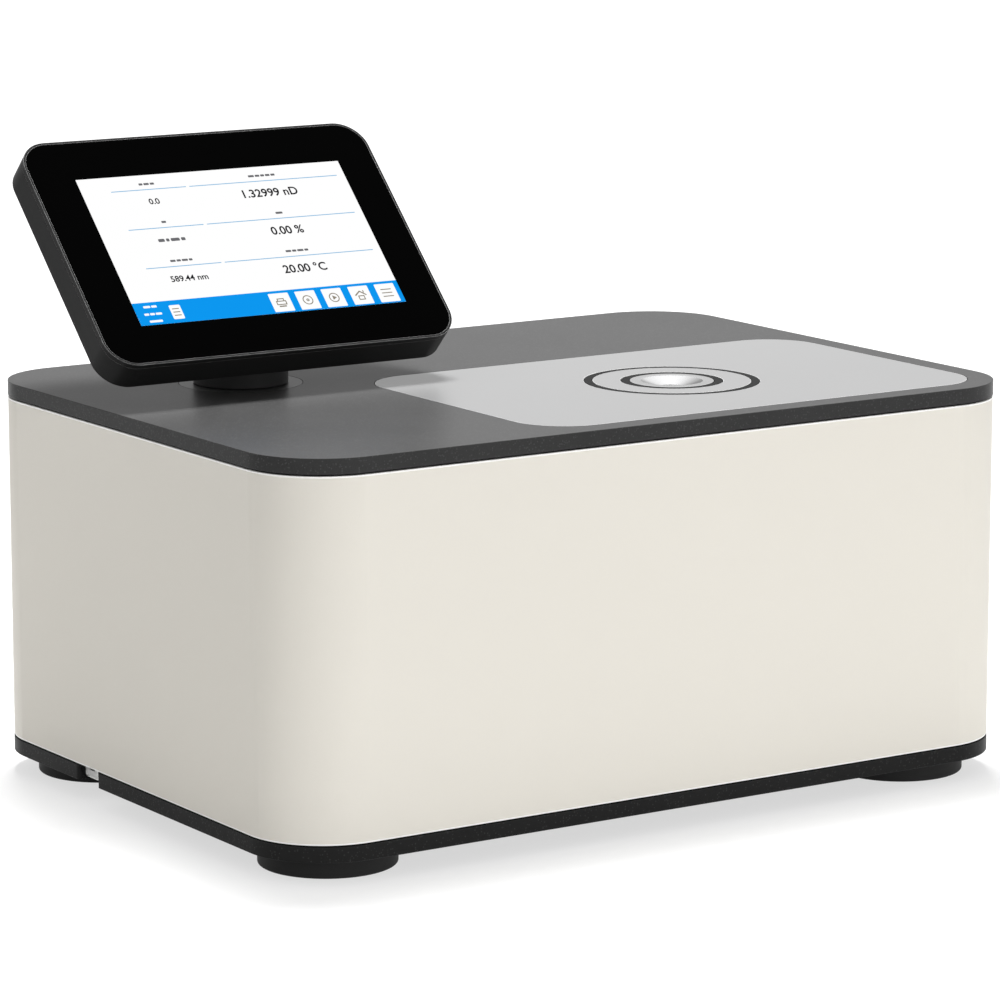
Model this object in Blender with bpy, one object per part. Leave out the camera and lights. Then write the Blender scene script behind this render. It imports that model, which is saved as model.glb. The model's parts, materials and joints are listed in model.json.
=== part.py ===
"""Bench-top digital refractometer with a tilting touch display, modelled piece by piece.

Lengths are in metres and +Z is up. The instrument stands on the plane z = 0 with the middle of its
base over the origin, and its front faces -Y. Left is -X and right is +X.
"""

import math

import bmesh
import bpy
from mathutils import Matrix, Vector

# Fits and mesh fineness shared by all pieces
SEAT_GAP = 0.0003
CUT_OVERRUN = 0.001
FUSE_DEPTH = 0.0005
LEAST_CORNER = 0.0002
CORNER_STEPS = 9
SMALL_CORNER_STEPS = 2
SMALL_CORNER_LIMIT = 0.0100
ROUND_SIDES = 40
SMALL_ROUND_SIDES = 20
SMOOTH_ANGLE = math.radians(35)

# Body: base plate, painted housing and top plate
BODY_WIDTH = 0.430
BODY_DEPTH = 0.310
BODY_CORNER_RADIUS = 0.0408
BASE_THICKNESS = 0.0083
HOUSING_HEIGHT = 0.1747
HOUSING_WALL = 0.002
HOUSING_INSET = 0.0004
TOP_THICKNESS = 0.0083

# Feet, their screws and the posts that they hold
FOOT_INSET = 0.0445
FOOT_RADIUS = 0.0336
FOOT_HEIGHT = 0.0110
FOOT_EDGE_CHAMFER = 0.0012
SCREW_HEAD_RADIUS = 0.0050
SCREW_HEAD_HEIGHT = 0.0035
SCREW_SHANK_RADIUS = 0.0025
SCREW_HEAD_DEPTH = 0.0020
SCREW_REACH_IN_POST = 0.0100
POST_RADIUS = 0.0070
POST_BORE_SPARE = 0.0030

# Cable notch in the left edge of the base plate, and the socket in it
NOTCH_REAR_MARGIN = 0.1003
NOTCH_WIDTH = 0.0195
NOTCH_DEPTH = 0.0200
NOTCH_MOUTH_RADIUS = 0.0031
USB_WIDTH = 0.0131
USB_HEIGHT = 0.0057
USB_LENGTH = 0.0140
USB_WALL = 0.0005
SIDE_SOCKET_RECESS = 0.0034
SIDE_SOCKET_LIFT = 0.0021

# Air intake slots in the base plate, under the fan
INTAKE_SLOT_COUNT = 9
INTAKE_SLOT_WIDTH = 0.0030
INTAKE_SLOT_PITCH = 0.0065
INTAKE_SLOT_LENGTH = 0.0500

# Sample plate and the measuring stage let into the top plate
SAMPLE_PLATE_LEFT_MARGIN = 0.1490
SAMPLE_PLATE_RIGHT_MARGIN = 0.0128
SAMPLE_PLATE_FRONT_MARGIN = 0.0136
SAMPLE_PLATE_DEPTH = 0.1756
SAMPLE_PLATE_RADIUS = 0.0280
SAMPLE_PLATE_THICKNESS = 0.0040
STAGE_RIGHT_MARGIN = 0.1469
DISH_RADIUS = 0.0212
DISH_RIM_WIDTH = 0.0022
DISH_DEPTH = 0.0032
INNER_SEAL_WIDTH = 0.0045
STAGE_RING_WIDTH = 0.0143
OUTER_SEAL_WIDTH = 0.0042
STAGE_DEPTH = 0.0060
SEAL_RECESS = 0.0004

# Prism, its holder and the light path below it
PRISM_RADIUS = 0.0065
PRISM_COLLAR_RADIUS = 0.0090
PRISM_COLLAR_HEIGHT = 0.0020
PRISM_DROP = 0.0080
PRISM_RIDGE_WIDTH = 0.0012
HOLDER_FLANGE_RADIUS = 0.0560
HOLDER_FLANGE_THICKNESS = 0.0060
HOLDER_LIGHT_RADIUS = 0.0200
HOLDER_LIGHT_DEPTH = 0.0040
BEAM_ANGLE = math.radians(60)

# Optical bench and what it carries
BENCH_WIDTH = 0.200
BENCH_HEIGHT = 0.094
BENCH_THICKNESS = 0.008
BENCH_OFFSET_X = 0.010
BEAM_TO_BENCH = 0.0160
LED_DISTANCE = 0.078
LED_LENGTH = 0.030
LED_SIDE = 0.026
FILTER_RADIUS = 0.0080
FILTER_THICKNESS = 0.0025
CONDENSER_RADIUS = 0.0100
CONDENSER_THICKNESS = 0.0050
LENS_EDGE_SHARE = 0.4
OBJECTIVE_DISTANCE = 0.058
OBJECTIVE_LENGTH = 0.016
OBJECTIVE_SIDE = 0.032
OBJECTIVE_RADIUS = 0.0115
OBJECTIVE_THICKNESS = 0.0060
OBJECTIVE_LIP = 0.0020
MIRROR_DISTANCE = 0.096
MIRROR_SIDE = 0.030
MIRROR_THICKNESS = 0.006
SENSOR_DROP = 0.042
SENSOR_BOARD_LENGTH = 0.054
SENSOR_BOARD_THICKNESS = 0.0016
SENSOR_LENGTH = 0.042
SENSOR_WIDTH = 0.009
SENSOR_HEIGHT = 0.004

# Temperature control below the prism holder
PELTIER_SIDE = 0.030
PELTIER_THICKNESS = 0.0038
PELTIER_OFFSET_Y = -0.038
SINK_SIDE = 0.060
SINK_OFFSET_Y = -0.0515
SINK_BASE_THICKNESS = 0.005
SINK_FIN_HEIGHT = 0.028
SINK_FIN_COUNT = 11
SINK_FIN_THICKNESS = 0.0014
FAN_DEPTH = 0.015
FAN_BORE_RADIUS = 0.0285
FAN_HUB_RADIUS = 0.0115
FAN_SPIDER_THICKNESS = 0.002
FAN_ARM_WIDTH = 0.004
ROTOR_RADIUS = 0.0270
ROTOR_HEIGHT = 0.0105
BLADE_COUNT = 7
BLADE_THICKNESS = 0.0014
BLADE_CHORD = 0.0105
BLADE_PITCH = math.radians(50)

# Electronics on the base plate
BOARD_WIDTH = 0.180
BOARD_DEPTH = 0.130
BOARD_THICKNESS = 0.0016
BOARD_LEFT_MARGIN = 0.055
BOARD_FRONT_MARGIN = 0.060
BOARD_STANDOFF_HEIGHT = 0.008
BOARD_STANDOFF_RADIUS = 0.0035
BOARD_STANDOFF_INSET = 0.008
CHIP_HEIGHT = 0.004
SUPPLY_WIDTH = 0.115
SUPPLY_DEPTH = 0.060
SUPPLY_HEIGHT = 0.038
SUPPLY_RIGHT_MARGIN = 0.0655
SUPPLY_REAR_MARGIN = 0.0400
SUPPLY_EDGE_RADIUS = 0.002

# Rear connector panel behind a window in the housing
PANEL_WIDTH = 0.216
PANEL_HEIGHT = 0.060
PANEL_THICKNESS = 0.002
PANEL_OVERLAP = 0.006
PANEL_RIGHT_MARGIN = 0.0670
PANEL_CENTRE_HEIGHT = 0.070
PANEL_CORNER_RADIUS = 0.005
INLET_WIDTH = 0.0275
INLET_HEIGHT = 0.0200
INLET_LENGTH = 0.0200
INLET_WALL = 0.0018
INLET_FLANGE_BORDER = 0.0035
FLANGE_THICKNESS = 0.0018
INLET_SHARE = 0.36
SWITCH_WIDTH = 0.0130
SWITCH_HEIGHT = 0.0220
SWITCH_LENGTH = 0.0150
SWITCH_WALL = 0.0012
SWITCH_FLANGE_BORDER = 0.0020
SWITCH_SHARE = 0.19
ROCKER_SIDE_GAP = 0.0006
ROCKER_END_GAP = 0.0012
ROCKER_THICKNESS = 0.0040
ROCKER_CROWN = 0.0014
ROCKER_TILT = math.radians(9)
NETWORK_WIDTH = 0.0160
NETWORK_HEIGHT = 0.0135
NETWORK_LENGTH = 0.0180
NETWORK_WALL = 0.0020
NETWORK_SHARE = 0.02
USB_SHARES = (-0.10, -0.20)
PANEL_VENT_COUNT = 8
PANEL_VENT_WIDTH = 0.0030
PANEL_VENT_PITCH = 0.0060
PANEL_VENT_HEIGHT = 0.0340
PANEL_VENT_SHARE = -0.365

# Swivel under the display
SWIVEL_LEFT_MARGIN = 0.0982
SWIVEL_REAR_MARGIN = 0.0950
SWIVEL_DISC_RADIUS = 0.0310
SWIVEL_DISC_THICKNESS = 0.0030
COLUMN_RADIUS = 0.0239
COLUMN_HEIGHT = 0.0140
COLUMN_EDGE_CHAMFER = 0.0008
NECK_RADIUS = 0.0120
CABLE_BORE_RADIUS = 0.0060
BUSH_WALL = 0.0040
BUSH_FLANGE_RADIUS = 0.0200
BUSH_FLANGE_THICKNESS = 0.0030
RETAINER_RADIUS = 0.0180
RETAINER_THICKNESS = 0.0050

# Tilt hinge behind the display
TILT_AXIS_HEIGHT = 0.0330
TILT_ANGLE = math.radians(44.7)
TILT_PIN_RADIUS = 0.0030
TILT_PIN_HEAD_RADIUS = 0.0050
TILT_PIN_HEAD_HEIGHT = 0.0018
EAR_RADIUS = 0.0085
EAR_INNER_X = 0.0150
EAR_THICKNESS = 0.0065
WASHER_RADIUS = 0.0078
WASHER_THICKNESS = 0.0012
KNUCKLE_RADIUS = 0.0080
KNUCKLE_FLANGE_WIDTH = 0.0560
KNUCKLE_FLANGE_LOW = -0.0120
KNUCKLE_FLANGE_HIGH = 0.0500
KNUCKLE_FLANGE_THICKNESS = 0.0022

# Touch display
DISPLAY_WIDTH = 0.1990
DISPLAY_HEIGHT = 0.1401
DISPLAY_DEPTH = 0.0177
DISPLAY_CORNER_RADIUS = 0.0195
DISPLAY_SHIFT_X = -0.0009
DISPLAY_RISE = 0.0260
BACK_TO_TILT_AXIS = 0.0117
REAR_COVER_WALL = 0.0024
REAR_COVER_FLOOR = 0.0022
FRAME_RIM_WIDTH = 0.0017
FRAME_LIP_DEPTH = 0.0030
FRAME_LEDGE_WIDTH = 0.0060
FRAME_SKIRT_DEPTH = 0.0055
COVER_GLASS_THICKNESS = 0.0011
LCD_SIDE_BORDER = 0.01700
LCD_END_BORDER = 0.01805
LCD_THICKNESS = 0.0055
LCD_CORNER_RADIUS = 0.0015
DISPLAY_BOARD_BORDER = 0.0245
DISPLAY_BOARD_THICKNESS = 0.0016

# Levels and places that follow from the sizes above
BASE_TOP = FOOT_HEIGHT + BASE_THICKNESS
TOP_UNDERSIDE = BASE_TOP + HOUSING_HEIGHT
TOP_FACE = TOP_UNDERSIDE + TOP_THICKNESS
NOTCH_REAR_Y = BODY_DEPTH / 2 - NOTCH_REAR_MARGIN
SAMPLE_PLATE_WIDTH = BODY_WIDTH - SAMPLE_PLATE_LEFT_MARGIN - SAMPLE_PLATE_RIGHT_MARGIN
SAMPLE_PLATE_X = (SAMPLE_PLATE_LEFT_MARGIN - SAMPLE_PLATE_RIGHT_MARGIN) / 2
STAGE_X = BODY_WIDTH / 2 - STAGE_RIGHT_MARGIN
STAGE_Y = -BODY_DEPTH / 2 + SAMPLE_PLATE_FRONT_MARGIN + SAMPLE_PLATE_DEPTH / 2
INNER_SEAL_RADIUS = DISH_RADIUS + INNER_SEAL_WIDTH
STAGE_RING_RADIUS = INNER_SEAL_RADIUS + STAGE_RING_WIDTH
OUTER_SEAL_RADIUS = STAGE_RING_RADIUS + OUTER_SEAL_WIDTH
HOLDER_TOP = TOP_FACE - STAGE_DEPTH - SEAT_GAP
HOLDER_UNDERSIDE = TOP_UNDERSIDE - SEAT_GAP - HOLDER_FLANGE_THICKNESS
PRISM_FACE = TOP_FACE - DISH_DEPTH
BENCH_FRONT_Y = STAGE_Y + BEAM_TO_BENCH
PELTIER_UNDERSIDE = HOLDER_UNDERSIDE - SEAT_GAP - PELTIER_THICKNESS
SINK_TOP = PELTIER_UNDERSIDE - SEAT_GAP
SINK_BOTTOM = SINK_TOP - SINK_BASE_THICKNESS - SINK_FIN_HEIGHT
SINK_Y = STAGE_Y + SINK_OFFSET_Y
FAN_TOP = SINK_BOTTOM - SEAT_GAP
FAN_BOTTOM = FAN_TOP - FAN_DEPTH
BOARD_CENTRE_X = -BODY_WIDTH / 2 + BOARD_LEFT_MARGIN + BOARD_WIDTH / 2
BOARD_CENTRE_Y = -BODY_DEPTH / 2 + BOARD_FRONT_MARGIN + BOARD_DEPTH / 2
SUPPLY_CENTRE_X = BODY_WIDTH / 2 - SUPPLY_RIGHT_MARGIN - SUPPLY_WIDTH / 2
SUPPLY_CENTRE_Y = BODY_DEPTH / 2 - SUPPLY_REAR_MARGIN - SUPPLY_DEPTH / 2
PANEL_CENTRE_X = BODY_WIDTH / 2 - PANEL_RIGHT_MARGIN - PANEL_WIDTH / 2
HOUSING_REAR_Y = BODY_DEPTH / 2 - HOUSING_INSET
PANEL_OUTER_Y = HOUSING_REAR_Y - HOUSING_WALL - SEAT_GAP
PANEL_INNER_Y = PANEL_OUTER_Y - PANEL_THICKNESS
SWIVEL_X = -BODY_WIDTH / 2 + SWIVEL_LEFT_MARGIN
SWIVEL_Y = BODY_DEPTH / 2 - SWIVEL_REAR_MARGIN
TILT_AXIS_Z = TOP_FACE + TILT_AXIS_HEIGHT
DISPLAY_FRONT = BACK_TO_TILT_AXIS + DISPLAY_DEPTH


def clear_scene():
    """Remove every object of the open scene."""
    for obj in list(bpy.data.objects):
        bpy.data.objects.remove(obj, do_unlink=True)


def finish(name, colour, roughness, metallic=0.0):
    """A plain Principled material."""
    material = bpy.data.materials.new(name)
    material.use_nodes = True
    shader = material.node_tree.nodes["Principled BSDF"]
    shader.inputs["Base Color"].default_value = (*colour, 1.0)
    shader.inputs["Roughness"].default_value = roughness
    shader.inputs["Metallic"].default_value = metallic
    return material


def rounded_rectangle(width, depth, radius, centre=(0.0, 0.0), inset=0.0):
    """Counter-clockwise points of a rectangle with round corners, drawn in by inset."""
    half_x, half_y = width / 2 - inset, depth / 2 - inset
    arc = min(max(radius - inset, LEAST_CORNER), half_x, half_y)
    corners = ((half_x, -half_y), (half_x, half_y), (-half_x, half_y), (-half_x, -half_y))
    steps = CORNER_STEPS if radius > SMALL_CORNER_LIMIT else SMALL_CORNER_STEPS
    points = []
    for quarter, (x, y) in enumerate(corners):
        centre_x = x - math.copysign(arc, x)
        centre_y = y - math.copysign(arc, y)
        for step in range(steps + 1):
            turn = math.pi / 2 * (quarter - 1 + step / steps)
            points.append(
                (centre[0] + centre_x + arc * math.cos(turn), centre[1] + centre_y + arc * math.sin(turn))
            )
    return points


def circle(radius, sides, centre=(0.0, 0.0)):
    """Counter-clockwise points of a circle."""
    turns = (2 * math.pi * side / sides for side in range(sides))
    return [(centre[0] + radius * math.cos(t), centre[1] + radius * math.sin(t)) for t in turns]


def add_object(name, mesh_data, material, parent=None):
    """Link a finished bmesh to the scene as a named object."""
    bmesh.ops.recalc_face_normals(mesh_data, faces=mesh_data.faces)
    mesh = bpy.data.meshes.new(name)
    mesh_data.to_mesh(mesh)
    mesh_data.free()
    mesh.shade_smooth()
    mesh.set_sharp_from_angle(angle=SMOOTH_ANGLE)
    obj = bpy.data.objects.new(name, mesh)
    bpy.context.scene.collection.objects.link(obj)
    if material:
        mesh.materials.append(material)
    if parent:
        obj.parent = parent
    return obj


def loft(name, levels, material=None, parent=None, ring=False):
    """Skin a stack of (outline, height) levels, capped at both ends or closed on itself as a ring."""
    mesh_data = bmesh.new()
    loops = [[mesh_data.verts.new((x, y, height)) for x, y in outline] for outline, height in levels]
    pairs = list(zip(loops, loops[1:]))
    if ring:
        pairs.append((loops[-1], loops[0]))
    for lower, upper in pairs:
        for index in range(len(lower)):
            after = (index + 1) % len(lower)
            mesh_data.faces.new((lower[index], lower[after], upper[after], upper[index]))
    if not ring:
        mesh_data.faces.new(loops[0][::-1])
        mesh_data.faces.new(loops[-1])
    return add_object(name, mesh_data, material, parent)


def turned(name, profile, material=None, parent=None, sides=ROUND_SIDES, ring=False):
    """Turn a (radius, height) profile about Z. A solid's profile starts and ends with its caps."""
    return loft(name, [(circle(radius, sides), height) for radius, height in profile], material, parent, ring)


def tube_profile(inner, outer, low, high):
    """Rectangular section of a plain ring, for turned()."""
    return ((outer, low), (outer, high), (inner, high), (inner, low))


def block(name, size, centre, material=None, parent=None):
    """A box of the given size around its centre."""
    mesh_data = bmesh.new()
    shape = Matrix.Translation(centre) @ Matrix.Diagonal((*size, 1.0))
    bmesh.ops.create_cube(mesh_data, size=1.0, matrix=shape)
    return add_object(name, mesh_data, material, parent)


def plate(name, outline, low, high, material=None, parent=None):
    """An outline extruded between two heights."""
    return loft(name, [(outline, low), (outline, high)], material, parent)


def helper(obj):
    """Keep a cutter or a fused shape out of renders and of the part."""
    obj.hide_render = True
    obj.display_type = "WIRE"
    return obj


def combine(target, other, operation):
    """Put one Boolean of the helper on the target."""
    modifier = target.modifiers.new(f"{operation.lower()}_{other.name}", "BOOLEAN")
    modifier.operation = operation
    modifier.solver = "EXACT"
    modifier.object = helper(other)
    return target


def cut(target, other):
    """Cut the helper out of the target."""
    return combine(target, other, "DIFFERENCE")


def fuse(target, other):
    """Join the helper to the target."""
    return combine(target, other, "UNION")


def lay_along_x(obj):
    """Turn a mesh in place so that its local X, Y and Z become Y, Z and X."""
    obj.data.transform(Matrix(((0, 0, 1, 0), (1, 0, 0, 0), (0, 1, 0, 0), (0, 0, 0, 1))))
    return obj


def place(obj, location, rotation=(0.0, 0.0, 0.0)):
    """Set an object's place and return it."""
    obj.location = location
    obj.rotation_euler = rotation
    return obj


def round_cutter(name, radius, low, high, centre, sides=SMALL_ROUND_SIDES):
    """A cylinder used as a cutter or a fused boss."""
    outline = circle(radius, sides, centre)
    return plate(name, outline, low, high)


def corner_places():
    """Name and plan position of each foot, post and foot screw."""
    reach_x, reach_y = BODY_WIDTH / 2 - FOOT_INSET, BODY_DEPTH / 2 - FOOT_INSET
    return (
        ("front_left", -reach_x, -reach_y),
        ("front_right", reach_x, -reach_y),
        ("rear_left", -reach_x, reach_y),
        ("rear_right", reach_x, reach_y),
    )


def board_places():
    """Plan position of each standoff under the main board."""
    reach_x = BOARD_WIDTH / 2 - BOARD_STANDOFF_INSET
    reach_y = BOARD_DEPTH / 2 - BOARD_STANDOFF_INSET
    return [
        (BOARD_CENTRE_X + side_x * reach_x, BOARD_CENTRE_Y + side_y * reach_y)
        for side_x in (-1, 1)
        for side_y in (-1, 1)
    ]


def row_of_places(count, pitch):
    """Offsets of a centred row."""
    return [(index - (count - 1) / 2) * pitch for index in range(count)]


def body_outline(inset=0.0):
    """Plan outline shared by the base plate, the housing and the top plate."""
    return rounded_rectangle(BODY_WIDTH, BODY_DEPTH, BODY_CORNER_RADIUS, inset=inset)


def make_notch_cutter():
    """Plan shape of the cable notch: a slot whose mouth flares out in two round corners."""
    edge_x = -BODY_WIDTH / 2
    low_y, high_y = NOTCH_REAR_Y - NOTCH_WIDTH, NOTCH_REAR_Y
    quarter = [math.pi / 2 * step / CORNER_STEPS for step in range(CORNER_STEPS + 1)]
    reach = NOTCH_MOUTH_RADIUS
    points = [(edge_x - CUT_OVERRUN, low_y - reach)]
    points += [
        (edge_x + reach * math.sin(turn), low_y - reach + reach * (1 - math.cos(turn))) for turn in quarter
    ]
    points += [(edge_x + NOTCH_DEPTH, low_y), (edge_x + NOTCH_DEPTH, high_y)]
    points += [
        (edge_x + reach * math.sin(turn), high_y + reach - reach * (1 - math.cos(turn)))
        for turn in reversed(quarter)
    ]
    points.append((edge_x - CUT_OVERRUN, high_y + reach))
    return plate("notch_cutter", points, FOOT_HEIGHT - CUT_OVERRUN, BASE_TOP + CUT_OVERRUN)


def make_base(finishes):
    """Base plate with its notch, intake slots, screw holes and the board's standoffs."""
    base = plate("base_plate", body_outline(), FOOT_HEIGHT, BASE_TOP, finishes["charcoal"])
    cut(base, make_notch_cutter())
    low, high = FOOT_HEIGHT - CUT_OVERRUN, BASE_TOP + CUT_OVERRUN
    for name, x, y in corner_places():
        cut(base, round_cutter(f"base_hole_{name}", SCREW_SHANK_RADIUS + SEAT_GAP, low, high, (x, y)))
    for index, offset in enumerate(row_of_places(INTAKE_SLOT_COUNT, INTAKE_SLOT_PITCH)):
        outline = rounded_rectangle(
            INTAKE_SLOT_WIDTH, INTAKE_SLOT_LENGTH, INTAKE_SLOT_WIDTH / 2, (STAGE_X + offset, SINK_Y)
        )
        cut(base, plate(f"intake_slot_{index}", outline, low, high))
    boss_low, boss_top = BASE_TOP - FUSE_DEPTH, BASE_TOP + BOARD_STANDOFF_HEIGHT
    for index, centre in enumerate(board_places()):
        name = f"board_standoff_{index}"
        fuse(base, round_cutter(name, BOARD_STANDOFF_RADIUS, boss_low, boss_top, centre))
    return base


def make_corners(finishes):
    """Feet, the screws through them, and the posts that join the base plate to the top plate."""
    foot_top = FOOT_HEIGHT - SEAT_GAP
    hole = SCREW_SHANK_RADIUS + SEAT_GAP
    sunk = SCREW_HEAD_RADIUS + SEAT_GAP
    sunk_depth = SCREW_HEAD_DEPTH + SCREW_HEAD_HEIGHT + SEAT_GAP
    foot_profile = (
        (sunk, 0.0),
        (FOOT_RADIUS - FOOT_EDGE_CHAMFER, 0.0),
        (FOOT_RADIUS, FOOT_EDGE_CHAMFER),
        (FOOT_RADIUS, foot_top),
        (hole, foot_top),
        (hole, sunk_depth),
        (sunk, sunk_depth),
    )
    post_low, post_high = BASE_TOP + SEAT_GAP, TOP_UNDERSIDE - SEAT_GAP
    screw_tip = BASE_TOP + SCREW_REACH_IN_POST
    screw_profile = (
        (SCREW_HEAD_RADIUS, SCREW_HEAD_DEPTH),
        (SCREW_HEAD_RADIUS, SCREW_HEAD_DEPTH + SCREW_HEAD_HEIGHT),
        (SCREW_SHANK_RADIUS, SCREW_HEAD_DEPTH + SCREW_HEAD_HEIGHT),
        (SCREW_SHANK_RADIUS, screw_tip),
    )
    bore_top = screw_tip + POST_BORE_SPARE
    post_profile = (
        (hole, bore_top),
        (hole, post_low),
        (POST_RADIUS, post_low),
        (POST_RADIUS, post_high),
    )
    for name, x, y in corner_places():
        place(turned(f"foot_{name}", foot_profile, finishes["rubber"], ring=True), (x, y, 0.0))
        screw = turned(f"foot_screw_{name}", screw_profile, finishes["steel"], sides=SMALL_ROUND_SIDES)
        place(screw, (x, y, 0.0))
        post = turned(f"corner_post_{name}", post_profile, finishes["aluminium"], sides=SMALL_ROUND_SIDES)
        place(post, (x, y, 0.0))


def make_housing(finishes):
    """The painted wrap around the body, with the window for the rear panel."""
    low, high = BASE_TOP + SEAT_GAP, TOP_UNDERSIDE - SEAT_GAP
    outer, inner = body_outline(HOUSING_INSET), body_outline(HOUSING_INSET + HOUSING_WALL)
    housing = loft(
        "housing_shell",
        [(outer, low), (outer, high), (inner, high), (inner, low)],
        finishes["cream"],
        ring=True,
    )
    window = plate(
        "rear_window",
        rounded_rectangle(PANEL_WIDTH, PANEL_HEIGHT, PANEL_CORNER_RADIUS),
        -HOUSING_WALL - CUT_OVERRUN,
        HOUSING_WALL + CUT_OVERRUN,
    )
    place(window, (PANEL_CENTRE_X, HOUSING_REAR_Y, PANEL_CENTRE_HEIGHT), (math.pi / 2, 0.0, 0.0))
    return cut(housing, window)


def make_top(finishes):
    """Top plate, let in for the sample plate, the measuring stage and the display's swivel."""
    top = plate("top_plate", body_outline(), TOP_UNDERSIDE, TOP_FACE, finishes["anthracite"])
    stage = (STAGE_X, STAGE_Y)
    plate_centre = (SAMPLE_PLATE_X, STAGE_Y)
    pocket_floor = TOP_FACE - SAMPLE_PLATE_THICKNESS - SEAT_GAP
    pocket = rounded_rectangle(
        SAMPLE_PLATE_WIDTH, SAMPLE_PLATE_DEPTH, SAMPLE_PLATE_RADIUS, plate_centre, inset=-SEAT_GAP
    )
    cut(top, plate("sample_pocket", pocket, pocket_floor, TOP_FACE + CUT_OVERRUN))
    low = TOP_UNDERSIDE - CUT_OVERRUN
    stage_hole = OUTER_SEAL_RADIUS + SEAT_GAP
    cut(top, round_cutter("stage_hole", stage_hole, low, TOP_FACE, stage, ROUND_SIDES))
    swivel = (SWIVEL_X, SWIVEL_Y)
    disc_floor = TOP_FACE - SWIVEL_DISC_THICKNESS - SEAT_GAP
    disc_hole = SWIVEL_DISC_RADIUS + SEAT_GAP
    cut(top, round_cutter("disc_pocket", disc_hole, disc_floor, TOP_FACE + CUT_OVERRUN, swivel, ROUND_SIDES))
    bush_hole = NECK_RADIUS + SEAT_GAP + BUSH_WALL + SEAT_GAP
    return cut(top, round_cutter("bush_hole", bush_hole, low, TOP_FACE, swivel, ROUND_SIDES))


def make_stage(finishes):
    """Sample plate, seal rings, stage ring and the polished dish around the prism."""
    plate_outline = rounded_rectangle(
        SAMPLE_PLATE_WIDTH, SAMPLE_PLATE_DEPTH, SAMPLE_PLATE_RADIUS, (SAMPLE_PLATE_X, STAGE_Y)
    )
    sample_low = TOP_FACE - SAMPLE_PLATE_THICKNESS
    sample = plate("sample_plate", plate_outline, sample_low, TOP_FACE, finishes["silver"])
    cut(
        sample,
        round_cutter(
            "sample_plate_hole",
            OUTER_SEAL_RADIUS + SEAT_GAP,
            sample_low - CUT_OVERRUN,
            TOP_FACE + CUT_OVERRUN,
            (STAGE_X, STAGE_Y),
            ROUND_SIDES,
        ),
    )
    low = TOP_FACE - STAGE_DEPTH
    seal_top = TOP_FACE - SEAL_RECESS
    rings = (
        ("outer_seal_ring", STAGE_RING_RADIUS + SEAT_GAP, OUTER_SEAL_RADIUS, seal_top, "seal"),
        ("stage_ring", INNER_SEAL_RADIUS + SEAT_GAP, STAGE_RING_RADIUS, TOP_FACE, "silver"),
        ("inner_seal_ring", DISH_RADIUS + SEAT_GAP, INNER_SEAL_RADIUS, seal_top, "seal"),
    )
    for name, inner, outer, high, material in rings:
        ring = turned(name, tube_profile(inner, outer, low, high), finishes[material], ring=True)
        place(ring, (STAGE_X, STAGE_Y, 0.0))
    dish_hole = PRISM_RADIUS + SEAT_GAP
    dish_profile = (
        (dish_hole, low),
        (DISH_RADIUS, low),
        (DISH_RADIUS, TOP_FACE),
        (DISH_RADIUS - DISH_RIM_WIDTH, TOP_FACE),
        (dish_hole, PRISM_FACE),
    )
    dish = turned("prism_dish", dish_profile, finishes["polished_steel"], ring=True)
    place(dish, (STAGE_X, STAGE_Y, 0.0))


def make_prism(finishes):
    """The measuring prism, a collared rod whose lower end is ground to two facets."""
    collar_low = HOLDER_TOP - PRISM_COLLAR_HEIGHT
    tip = HOLDER_UNDERSIDE - PRISM_DROP
    profile = (
        (PRISM_RADIUS, tip),
        (PRISM_RADIUS, collar_low),
        (PRISM_COLLAR_RADIUS, collar_low),
        (PRISM_COLLAR_RADIUS, HOLDER_TOP),
        (PRISM_RADIUS, HOLDER_TOP),
        (PRISM_RADIUS, PRISM_FACE),
    )
    prism = turned("measuring_prism", profile, finishes["sapphire"], sides=SMALL_ROUND_SIDES)
    place(prism, (STAGE_X, STAGE_Y, 0.0))
    side = 4 * PRISM_DROP
    for name, direction in (("left", -1), ("right", 1)):
        facet = block(f"facet_cutter_{name}", (side, side, side), (0.0, 0.0, -side / 2))
        ridge_x = STAGE_X + direction * PRISM_RIDGE_WIDTH / 2
        place(facet, (ridge_x, STAGE_Y, tip), (0.0, -direction * BEAM_ANGLE, 0.0))
        cut(prism, facet)


def make_holder(finishes):
    """Tempered holder that clamps the prism under the stage, open below for the light."""
    bore = PRISM_RADIUS + SEAT_GAP
    collar = PRISM_COLLAR_RADIUS + SEAT_GAP
    collar_floor = HOLDER_TOP - PRISM_COLLAR_HEIGHT - SEAT_GAP
    flange_top = TOP_UNDERSIDE - SEAT_GAP
    profile = (
        (HOLDER_LIGHT_RADIUS, HOLDER_UNDERSIDE),
        (HOLDER_FLANGE_RADIUS, HOLDER_UNDERSIDE),
        (HOLDER_FLANGE_RADIUS, flange_top),
        (OUTER_SEAL_RADIUS, flange_top),
        (OUTER_SEAL_RADIUS, HOLDER_TOP),
        (collar, HOLDER_TOP),
        (collar, collar_floor),
        (bore, collar_floor),
        (bore, HOLDER_UNDERSIDE + HOLDER_LIGHT_DEPTH),
    )
    holder = turned("prism_holder", profile, finishes["aluminium"], ring=True)
    place(holder, (STAGE_X, STAGE_Y, 0.0))


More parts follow.
